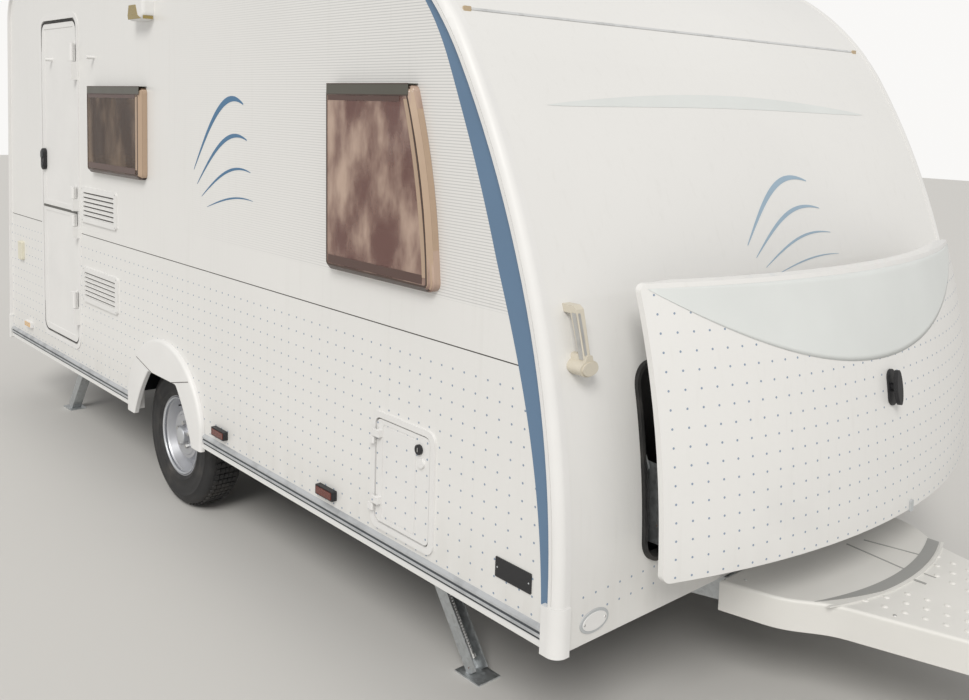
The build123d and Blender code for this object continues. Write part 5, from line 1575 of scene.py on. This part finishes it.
# Rear lamps: place, size and corner, the lenses' width, and their low and high edges about the middle
REAR_LAMP_Y = SIDE_Y - 0.155
REAR_LAMP_Z = 0.780
REAR_LAMP_SIZE = (0.150, 0.330, 0.030)
REAR_LENS_W = 0.132
REAR_SECTIONS = (("amber", 0.068, 0.152), ("red", -0.047, 0.062), ("clear", -0.152, -0.053))
# Awning lamp and socket box: place, and width, height and corner of the housing
AWNING_LAMP = (-0.958, 2.278)
AWNING_SIZE = (0.168, 0.116, 0.034)
AWNING_DEPTH = 0.056
AWNING_LENS = ((-0.066, -0.048), (0.074, -0.048), (0.034, -0.030), (0.014, 0.016), (-0.060, 0.016),
               (-0.072, -0.030))
SOCKET = (-2.7415, 0.9485)
SOCKET_SIZE = (0.069, 0.111, 0.010)


def rear_point(y, z, lift):
    """A point over the rear wall's face."""
    x = REAR_LOW.x + (z - REAR_LOW.z) * math.tan(REAR_LEAN)
    return Vector((x, y, z)) + Vector((-math.cos(REAR_LEAN), 0, math.sin(REAR_LEAN))) * lift


class CARAVAN_OT_lamps(bpy.types.Operator):
    """Adds the lamps' housings, bases and lenses, and the cover of the socket box"""

    bl_idname = "caravan.lamps"
    bl_label = "Lamps"

    def execute(self, context):
        for name, lens_finish, base_finish, x_low, z_low, length, depth in SIDE_LAMPS:
            bases, lenses = bmesh.new(), bmesh.new()
            x, z = x_low + length / 2, z_low + SIDE_LAMP_H / 2
            for way in (-1, 1):
                outline = rounded_outline(length + 0.004, SIDE_LAMP_H + 0.004, 0.0035)
                cap_into(bases, outline, x, z, way, 0.0002, depth + 0.0004, 0.001)
                outline = rounded_outline(length - 0.008, SIDE_LAMP_H - 0.006, 0.003)
                cap_into(lenses, outline, x, z, way, depth + 0.0004, 0.003, 0.0015)
            piece(name + "_bases", bases, "lamps", base_finish)
            piece(name + "_lenses", lenses, "lamps", lens_finish)

        up = Vector((math.sin(REAR_LEAN), 0, math.cos(REAR_LEAN)))
        housings = bmesh.new()
        sections = {name: bmesh.new() for name, low, high in REAR_SECTIONS}
        for y in (-REAR_LAMP_Y, REAR_LAMP_Y):
            domed_into(housings, rounded_outline(*REAR_LAMP_SIZE), rear_point(y, REAR_LAMP_Z, 0.0004),
                       (0, -1, 0), up, 0.0296, 0.004)
            for name, low, high in REAR_SECTIONS:
                domed_into(sections[name], rounded_outline(REAR_LENS_W, high - low, 0.012),
                           rear_point(y, REAR_LAMP_Z, 0.0298) + up * (low + high) / 2, (0, -1, 0), up, 0.0038,
                           0.002)
        made = piece("rear_lamp_housings", housings, "lamps", "trim_moulding")
        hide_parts("lamps")
        for name, bm in sections.items():
            piece("rear_lenses_" + name, bm, "lamps", "lamp_" + name)

        x, z = AWNING_LAMP
        housing, lens, socket = (bmesh.new() for count in range(3))
        part_into(housing, "side_fittings", lambda at: at.x < -1.3)
        cap_into(housing, rounded_outline(*AWNING_SIZE), x, z, -1, 0.0, AWNING_DEPTH, 0.016)
        made = piece("side_housings", housing, "side_fittings", "trim_moulding")
        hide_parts("side_fittings")
        cap_into(lens, AWNING_LENS, x, z - 0.004, -1, AWNING_DEPTH - 0.0005, 0.0022, 0.001)
        side_box_into(lens, -1, (x + 0.0842, x + 0.0860), (0.0060, 0.0530), (z - 0.053, z - 0.038))
        piece("awning_lamp_lens", lens, "side_fittings", "lamp_gold")
        x, z = SOCKET
        cap_into(socket, rounded_outline(*SOCKET_SIZE), x, z, -1, 0.0002, 0.0172, 0.003)
        side_box_into(socket, -1, (x - 0.030, x + 0.030), (0.0100, 0.0200), (z + 0.044, z + 0.052))
        side_box_into(socket, -1, (x - 0.010, x + 0.010), (0.0100, 0.0195), (z - 0.050, z - 0.044))
        piece("socket_cover", socket, "side_fittings", "socket_cream")
        return {"FINISHED"}


# Wheels

# Tyre's section: place across from the middle, radius
TYRE_SECTION = (
    (-0.0705, 0.1790), (-0.0835, 0.1880), (-0.0868, 0.1995), (-0.0895, 0.2010), (-0.0895, 0.2050),
    (-0.0878, 0.2065), (-0.0912, 0.2350), (-0.0922, 0.2520), (-0.0905, 0.2700), (-0.0915, 0.2712),
    (-0.0908, 0.2760), (-0.0885, 0.2772), (-0.0840, 0.2950), (-0.0765, 0.3080), (-0.0680, 0.3140),
    (-0.0525, 0.3165), (-0.0350, 0.3172), (0.0350, 0.3172), (0.0525, 0.3165), (0.0680, 0.3140),
    (0.0765, 0.3080), (0.0840, 0.2950), (0.0905, 0.2700), (0.0922, 0.2520), (0.0912, 0.2350),
    (0.0868, 0.1995), (0.0835, 0.1880), (0.0705, 0.1790),
)
TREAD_REACH = 0.3192
TREAD_BLOCK = (0.0235, 0.0185, 0.0100)
RIM_R = 0.1778
# The rim's lip, the hub's cap and the valve: place outwards, radius
LIP_SECTION = ((0.0685, RIM_R - 0.0095), (0.0775, RIM_R - 0.0065), (0.0815, RIM_R - 0.0040),
               (0.0815, RIM_R - 0.0015), (0.0790, RIM_R - 0.0004), (0.0787, RIM_R - 0.0060))
CAP_SECTION = ((0.0742, 0.0), (0.0742, 0.0385), (0.0770, 0.0370), (0.0800, 0.0300), (0.0825, 0.0180),
               (0.0835, 0.0))
VALVE_SECTION = ((0.0, 0.0), (0.0, 0.004), (0.009, 0.0035), (0.011, 0.0045), (0.014, 0.0045), (0.014, 0.0))
# Rings of small parts: radius of the ring, place outwards; the valve's angle
NUTS, NUT_RING = 5, (0.056, 0.0522)
NUT_R, NUT_HEIGHT = 0.0115, 0.016
# Vents: black plates on the dish where its vent holes are, painted shade in the holes
VENTS, VENT_RING = 10, (0.116, 0.0282)
VENT_SIZE = (0.030, 0.016, 0.0079)
VALVE_RING, VALVE_ANGLE = (0.143, 0.030), 2.2
Y_AXIS = (0, 1, 0)


class CARAVAN_OT_wheels(bpy.types.Operator):
    """Replaces the plain tyres by treaded ones and adds lips, nuts, caps, painted shade in the vent holes, and
    valves to the wheels
    """

    bl_idname = "caravan.wheels"
    bl_label = "Wheels"

    def execute(self, context):
        settings = context.scene.caravan_graphics
        for side, way in SIDES:
            node = "tyre_" + side
            out = Vector((0, way, 0))
            centre = Vector((AXLE.x, way * abs(AXLE.y), AXLE.z))

            def around(angle, ring):
                """Radial direction at an angle, and the point of a ring there."""
                radial = Vector((math.cos(angle), 0, math.sin(angle)))
                return radial, centre + radial * ring[0] + out * ring[1]

            carcass, lips, nuts, vents = (bmesh.new() for count in range(4))
            ring_into(carcass, TYRE_SECTION, centre, Y_AXIS, 96)
            made = piece("tyre_carcass_" + side, carcass, node, "tyre_rubber", smooth=True)
            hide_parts("tyre_" + side)
            grown("tyre_tread_" + side, "tyre_tread", {
                "Blocks": settings.tread_blocks, "Reach": TREAD_REACH, "Block": TREAD_BLOCK,
                "Centre": tuple(centre)}, node, "tyre_rubber")

            ring_into(lips, sided(LIP_SECTION, way), centre, Y_AXIS, 72)
            lathe_into(lips, sided(CAP_SECTION, way), centre, Y_AXIS, 40)
            for count in range(NUTS):
                radial, foot = around(math.tau * (count + 0.25) / NUTS, NUT_RING)
                domed_into(nuts, oval_outline(NUT_R, NUT_R, 6), foot, radial, out.cross(radial), NUT_HEIGHT,
                           0.004)
            # Black plates on the dish: painted shade in its vent holes
            for count in range(VENTS):
                radial, foot = around(math.tau * (count + 0.5) / VENTS, VENT_RING)
                tangent, normal = out.cross(radial), (out + radial).normalized()
                prism_into(vents, rounded_outline(*VENT_SIZE), foot + normal * 0.0003, tangent,
                           normal.cross(tangent), 0.0006)
            lathe_into(vents, VALVE_SECTION, around(VALVE_ANGLE, VALVE_RING)[1], out, 12)
            piece("wheel_lip_" + side, lips, node, "wheel_bright", smooth=True)
            piece("wheel_nuts_" + side, nuts, node, "bright_steel")
            piece("wheel_vents_" + side, vents, node, "black_plastic")
        return {"FINISHED"}


# Fittings

HANDLE_Y = SIDE_Y - 0.105
HANDLE_BAR_Z = (1.193, 1.316)
HANDLE_OUT = 0.050
# The handles' lower caps: height about which they are flattened, reach over it, share that is left
HANDLE_CAP_Z = 1.168
HANDLE_CAP_REACH = 0.034
HANDLE_CAP_SHARE = 0.62
# Grips: name, node, where each starts and ends, radius
GRIPS = (
    ("jockey_grip", "jockey_tube", (2.779, -0.200, 0.724), (2.779, -0.200, 0.7998), 0.0118),
    ("brake_lever_grip", "overrun_device", (2.470, 0.062, 0.5533), (2.3715, 0.062, 0.6190), 0.0128),
    ("coupling_lever_grip", "coupling_head", (2.868, 0.0, 0.4889), (2.8210, 0.0, 0.5213), 0.0136),
)
GRIP_RIBS = 5
# Screws: name, node, finish, radius and rows of (place, facing)
PLATE_SCREWS = tuple(((SIDE_PLATE[0] + dx, -SIDE_Y - 0.0039, SIDE_PLATE[1]), (0, -1, 0))
                     for dx in (-0.064, 0.064))
VENT_SCREWS = tuple(((x + dx, -SIDE_Y - 0.0100, z + dz), (0, -1, 0))
                    for x, z in VENT_CORNERS for dx in (0.011, 0.439) for dz in (0.011, 0.173))
OVAL_SCREWS = tuple((wall_point(OVAL_PLATE[0] + dy, OVAL_PLATE[1], 0.0045), (1, 0, 0))
                    for dy in (-0.043, 0.043))
COVER_SCREWS = tuple(((x, y, COVER_TOP + 0.0004), (0, 0, 1))
                     for x, half in ((1.760, 0.430), (2.170, 0.270), (2.520, 0.160)) for y in (-half, half))
FRAME_SCREWS = tuple(((x, -SIDE_Y - 0.0040, z), (0, -1, 0))
                     for x in (-2.368, -1.812) for z in (0.640, 0.990, 1.640, 1.900))
SCREWS = (
    ("side_plate_screws", "side_wall_right", "plate_grey", 0.0028, PLATE_SCREWS),
    ("vent_screws", "fridge_vents", "bright_steel", 0.0040, VENT_SCREWS),
    ("front_plate_screws", "front_wall", "bright_steel", 0.0042, OVAL_SCREWS),
    ("cover_screws", "drawbar_cover", "bright_steel", 0.0060, COVER_SCREWS),
    ("frame_screws", "wall_frames", "trim_moulding", 0.0040, FRAME_SCREWS),
)
# Bolts on the drawbar: where each stands, way it faces, size across
BOLTS = tuple(((x, y, 0.4722), (0, 0, 1), 0.011) for x in (2.500, 2.680) for y in (-0.030, 0.030)) + tuple(
    ((x, way * 0.0342, 0.436), (0, way, 0), 0.010) for x in (2.902, 2.936) for way in (-1, 1))
LID_CATCH = (0.14, 0.580)
LID_CATCH_SIZE = (0.022, 0.040, 0.004)


class CARAVAN_OT_fittings(bpy.types.Operator):
    """Adds the handles' castings and steel strips, the grips, the screws, the bolts and the lid's catch"""

    bl_idname = "caravan.fittings"
    bl_label = "Small Fittings"

    def execute(self, context):
        castings, strips, bolts, catch = (bmesh.new() for count in range(4))
        castings.from_mesh(NODES["grab_handles"].data)
        for vert in castings.verts:
            if vert.co.z < HANDLE_CAP_Z + HANDLE_CAP_REACH:
                vert.co.z = HANDLE_CAP_Z + (vert.co.z - HANDLE_CAP_Z) * HANDLE_CAP_SHARE
        made = piece("handle_castings", castings, "grab_handles", "handle_beige")
        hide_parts("grab_handles")
        for way in (-1, 1):
            def face(u, v):
                z = between(HANDLE_BAR_Z, v)
                return front_x(z) + HANDLE_OUT + 0.0003, way * HANDLE_Y - 0.011 + 0.009 * u, z

            def side(u, v):
                z = between(HANDLE_BAR_Z, v)
                return front_x(z) + HANDLE_OUT - 0.018 + 0.015 * u, way * HANDLE_Y - 0.0153, z

            sheet_into(strips, face, 1, 8, 0.0012, (1, 0, 0))
            sheet_into(strips, side, 1, 8, 0.0012, (0, -1, 0))
        piece("handle_strips", strips, "grab_handles", "bright_steel")

        for name, node, start, end, radius in GRIPS:
            grip = bmesh.new()
            axis = Vector(end) - Vector(start)
            length = axis.length
            pitch = (length - 0.022) / GRIP_RIBS
            profile = [(0.0, 0.0), (0.0, radius * 0.85), (0.004, radius)]
            for rib in range(GRIP_RIBS):
                along = 0.010 + (length - 0.022) * rib / GRIP_RIBS
                profile += [(along, radius), (along + pitch * 0.2, radius * 0.93),
                            (along + pitch * 0.5, radius * 0.93), (along + pitch * 0.7, radius)]
            profile += [(length - 0.005, radius), (length, radius * 0.8), (length, 0.0)]
            lathe_into(grip, profile, start, axis, 20)
            piece(name, grip, node, "black_plastic", smooth=True)

        for row in SCREWS:
            heads(*row)

        for place, way, across in BOLTS:
            way = Vector(way)
            side_way = way.orthogonal().normalized()
            hexagon = oval_outline(across, across, 6)
            domed_into(bolts, hexagon, place, side_way, way.cross(side_way), 0.008, 0.002)
        piece("drawbar_bolts", bolts, "overrun_device", "galvanised")

        front_cap_into(catch, rounded_outline(*LID_CATCH_SIZE), lid_point(*LID_CATCH, SKIN), 0.006, 0.002)
        piece("lid_catch", catch, "locker_lid", "plate_grey")
        return {"FINISHED"}


# Steadies: place of the foot from the node's outer end, and from there to the pivot
STEADY_FOOT = 0.058
STEADY_DROP = 0.367
STEADY_REACH = 0.277
STEADY_PIVOT_Z = 0.379
# Spindle's screw: start, pitch, turns, root and crest radius
SPINDLE_START, SPINDLE_PITCH, SPINDLE_TURNS = 0.024, 0.0095, 34
SPINDLE_ROOT, SPINDLE_CREST = 0.0075, 0.0086
DISC_SECTION = ((0.0172, 0.0395), (0.0172, 0.0612), (0.0186, 0.0600), (0.0186, 0.0405))


class CARAVAN_OT_running_gear(bpy.types.Operator):
    """Adds the steadies' spindles, the jockey wheel's discs and the hatches' seals"""

    bl_idname = "caravan.running_gear"
    bl_label = "Running Gear"

    def execute(self, context):
        profile = [(0.0, 0.0), (0.0, 0.011), (0.020, 0.011), (0.020, SPINDLE_ROOT)]
        for turn in range(SPINDLE_TURNS):
            along = SPINDLE_START + turn * SPINDLE_PITCH
            profile += [(along, SPINDLE_ROOT), (along + 0.0045, SPINDLE_CREST)]
        profile += [(0.360, SPINDLE_ROOT), (0.360, 0.013), (0.375, 0.013), (0.375, 0.0)]
        for end, way in (("front", 1), ("rear", -1)):
            for side in ("right", "left"):
                node = f"steady_{end}_{side}"
                low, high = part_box(node)
                foot_x = high.x - STEADY_FOOT if way > 0 else low.x + STEADY_FOOT
                pivot = Vector((foot_x - way * STEADY_REACH, (low.y + high.y) / 2, STEADY_PIVOT_Z))
                axis = Vector((way * STEADY_REACH, 0, -STEADY_DROP)).normalized()
                spindle = bmesh.new()
                lathe_into(spindle, profile, pivot + axis * 0.045, axis, 14)
                piece("spindle_" + node, spindle, node, "bright_steel")

        discs, seals = bmesh.new(), bmesh.new()
        low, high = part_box("jockey_wheel")
        for way in (-1, 1):
            ring_into(discs, sided(DISC_SECTION, way), (low + high) / 2, Y_AXIS, 40)
        piece("jockey_discs", discs, "jockey_wheel", "wheel_silver")

        for ahead in (False, True):
            points = [vertex.co for vertex in NODES["roof_hatches"].data.vertices
                      if (vertex.co.x > -1.2) == ahead]
            low = Vector((min(point.x for point in points), min(point.y for point in points)))
            high = Vector((max(point.x for point in points), max(point.y for point in points)))
            middle, size = (low + high) / 2, high - low
            z = min(point.z for point in points)

            def place(u, v, lift):
                return middle.x + u, middle.y + v, z + lift

            outline = rounded_outline(size.x + 0.016, size.y + 0.016, 0.053)
            inner = rounded_outline(size.x - 0.002, size.y - 0.002, 0.044)
            band_into(seals, outline, inner, place, 0.0003, 0.0055)
        piece("hatch_seals", seals, "roof_hatches", "seal_rubber")
        return {"FINISHED"}


# Soft goods

# Kind of cushion: size, voxel, and where each copy's low corner stands; copies at +Y are mirrored
CUSHION_KINDS = (
    ("seat_cushion", (1.320, 0.510, 0.110), 0.014, ((-0.175, -1.095, 0.870), (-0.175, 0.585, 0.870))),
    ("back_cushion", (1.120, 0.100, 0.400), 0.013, ((-0.175, -1.200, 0.870), (-0.175, 1.100, 0.870))),
    ("mattress", (1.725, 1.340, 0.120), 0.022, ((-2.925, -0.140, 0.870),)),
)
CUSHION_SHRINK = 0.010
CUSHION_FRAMES = 20
CUSHION_REACH = 0.018
CUSHION_BEVEL = 0.016
CUSHION_OVER = 0.004
# Piping: radius, distance between its points, share of the thickness at which each cord lies
PIPING_R = 0.0045
PIPING_STEP = 0.03
PIPING_SHARES = (0.10, 0.90)
# What the cushions' cover is like in the simulation
COVER_CLOTH = {"quality": 4, "mass": 0.35, "tension_stiffness": 12, "compression_stiffness": 12,
               "bending_stiffness": 1.2, "use_pressure": True, "uniform_pressure_force": 4}


def baked(made, kind, settings):
    """The object's mesh with one modifier of this kind applied."""
    modifier = made.modifiers.new(kind, kind)
    for key, value in settings.items():
        setattr(modifier, key, value)
    evaluated = made.evaluated_get(bpy.context.evaluated_depsgraph_get())
    mesh = bpy.data.meshes.new_from_object(evaluated)
    made.modifiers.remove(modifier)
    return mesh


def block_mesh(size):
    """A block between the origin and its size, with rounded edges and slightly smaller."""
    bm = bmesh.new()
    box_into(bm, (CUSHION_SHRINK,) * 3, tuple(length - CUSHION_SHRINK for length in size))
    bmesh.ops.recalc_face_normals(bm, faces=bm.faces)
    bmesh.ops.bevel(bm, geom=bm.edges[:], offset=CUSHION_BEVEL, segments=3, affect="EDGES", profile=0.5)
    return mesh_of(bm, "cushion_block")


def inflated(made, frames):
    """Where the cloth's points stand after its frames under pressure, without gravity."""
    scene = bpy.context.scene
    modifier = made.modifiers.new("Cloth", "CLOTH")
    for key, value in COVER_CLOTH.items():
        setattr(modifier.settings, key, value)
    modifier.settings.effector_weights.gravity = 0
    modifier.collision_settings.use_collision = False
    modifier.collision_settings.use_self_collision = False
    modifier.point_cache.frame_start = 1
    modifier.point_cache.frame_end = frames
    for frame_number in range(1, frames + 1):
        scene.frame_set(frame_number)
    evaluated = made.evaluated_get(bpy.context.evaluated_depsgraph_get())
    places = [vertex.co.copy() for vertex in evaluated.data.vertices]
    made.modifiers.remove(modifier)
    scene.frame_set(1)
    return places


def stuffed(name, size, voxel):
    """A stuffed cushion's mesh about the origin corner, from a cloth simulation of its cover."""
    made = bpy.data.objects.new(name, block_mesh(size))
    bpy.context.scene.collection.objects.link(made)
    made.data = baked(made, "REMESH", {"mode": "VOXEL", "voxel_size": voxel})
    places = inflated(made, CUSHION_FRAMES)
    for vertex, place in zip(made.data.vertices, places):
        step = place - vertex.co
        if step.length > CUSHION_REACH:
            step *= CUSHION_REACH / step.length
        vertex.co += step
    for vertex in made.data.vertices:
        for axis in range(3):
            vertex.co[axis] = min(max(vertex.co[axis], -CUSHION_OVER), size[axis] + CUSHION_OVER)
    smooth = baked(made, "SUBSURF", {"levels": 1, "render_levels": 1})
    bpy.data.objects.remove(made)
    return smooth


def piping_mesh(cushion, size):
    """Two closed cords round the cushion, laid on its surface at its long seams."""
    tree = BVHTree.FromPolygons([vertex.co for vertex in cushion.vertices],
                                [tuple(face.vertices) for face in cushion.polygons])
    thin = size.index(min(size))
    across, up = [axis for axis in range(3) if axis != thin]
    bm = bmesh.new()
    for share in PIPING_SHARES:
        outline = rounded_outline(size[across], size[up], 0.03, 6)
        line = []
        for index, (u, v) in enumerate(outline):
            following = outline[(index + 1) % len(outline)]
            steps = max(1, round(math.hypot(following[0] - u, following[1] - v) / PIPING_STEP))
            for step in range(steps):
                point = Vector((0, 0, 0))
                point[across] = size[across] / 2 + u + (following[0] - u) * step / steps
                point[up] = size[up] / 2 + v + (following[1] - v) * step / steps
                point[thin] = size[thin] * share
                line.append(tree.find_nearest(point)[0])
        rings = []
        for index, point in enumerate(line):
            along = (line[(index + 1) % len(line)] - line[index - 1]).normalized()
            third = along.cross(Vector([axis == thin for axis in range(3)])).normalized()
            side = third.cross(along)
            rings.append([point + side * u + third * v for u, v in oval_outline(PIPING_R, PIPING_R, 6)])
        loft_into(bm, rings, closed=True)
    return mesh_of(bm, "piping")


class CARAVAN_OT_cushions(bpy.types.Operator):
    """Stuffs the seat cushions, the back cushions and the mattress, and sews their piping on"""

    bl_idname = "caravan.cushions"
    bl_label = "Cushions"

    def execute(self, context):
        for kind, size, voxel, places in CUSHION_KINDS:
            mesh = stuffed(kind, size, voxel)
            cord = piping_mesh(mesh, size)
            for number, low in enumerate(places, 1):
                cushion, piping = mesh.copy(), cord.copy()
                mirrored = low[1] > 0
                shift = Matrix.Translation(low)
                if mirrored:
                    shift = Matrix.Translation((low[0], low[1] + size[1], low[2]))
                    shift @= Matrix.Diagonal((1, -1, 1, 1))
                for data in (cushion, piping):
                    data.transform(shift)
                    if mirrored:
                        data.flip_normals()
                made = piece(f"{kind}_{number}", cushion, "cushions", "seat_cloth", smooth=True)
                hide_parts("cushions")
                piece(f"{kind}_piping_{number}", piping, "cushions", "piping_cloth", smooth=True)
        return {"FINISHED"}


# Add-on

OPERATORS = (CARAVAN_OT_stage, CARAVAN_OT_finishes, CARAVAN_OT_side_graphics, CARAVAN_OT_dots,
             CARAVAN_OT_front_graphics, CARAVAN_OT_drawbar_cover, CARAVAN_OT_windows,
             CARAVAN_OT_arches, CARAVAN_OT_door_fittings, CARAVAN_OT_lamps, CARAVAN_OT_wheels,
             CARAVAN_OT_fittings, CARAVAN_OT_running_gear, CARAVAN_OT_cushions)


class CARAVAN_PT_panel(bpy.types.Panel):
    """Lists the caravan's operators and settings"""

    bl_idname = "CARAVAN_PT_panel"
    bl_label = "Touring Caravan"
    bl_space_type = "VIEW_3D"
    bl_region_type = "UI"
    bl_category = "Caravan"

    def draw(self, context):
        layout = self.layout
        for settings in (context.scene.caravan_stage, context.scene.caravan_graphics):
            for name in settings.__annotations__:
                layout.prop(settings, name)
        for operator in OPERATORS:
            layout.operator(operator.bl_idname)


CLASSES = (CaravanStageSettings, CaravanGraphicSettings, *OPERATORS, CARAVAN_PT_panel)


def register():
    """Registers the classes and hangs the settings on the scene."""
    for item in CLASSES:
        bpy.utils.register_class(item)
    bpy.types.Scene.caravan_stage = PointerProperty(type=CaravanStageSettings)
    bpy.types.Scene.caravan_graphics = PointerProperty(type=CaravanGraphicSettings)


def unregister():
    """Takes the settings and the classes away."""
    del bpy.types.Scene.caravan_graphics
    del bpy.types.Scene.caravan_stage
    for item in reversed(CLASSES):
        bpy.utils.unregister_class(item)


def main():
    """Dresses the caravan."""
    register()
    for operator in OPERATORS:
        group, name = operator.bl_idname.split(".")
        getattr(getattr(bpy.ops, group), name)()


if __name__ == "__main__":
    main()
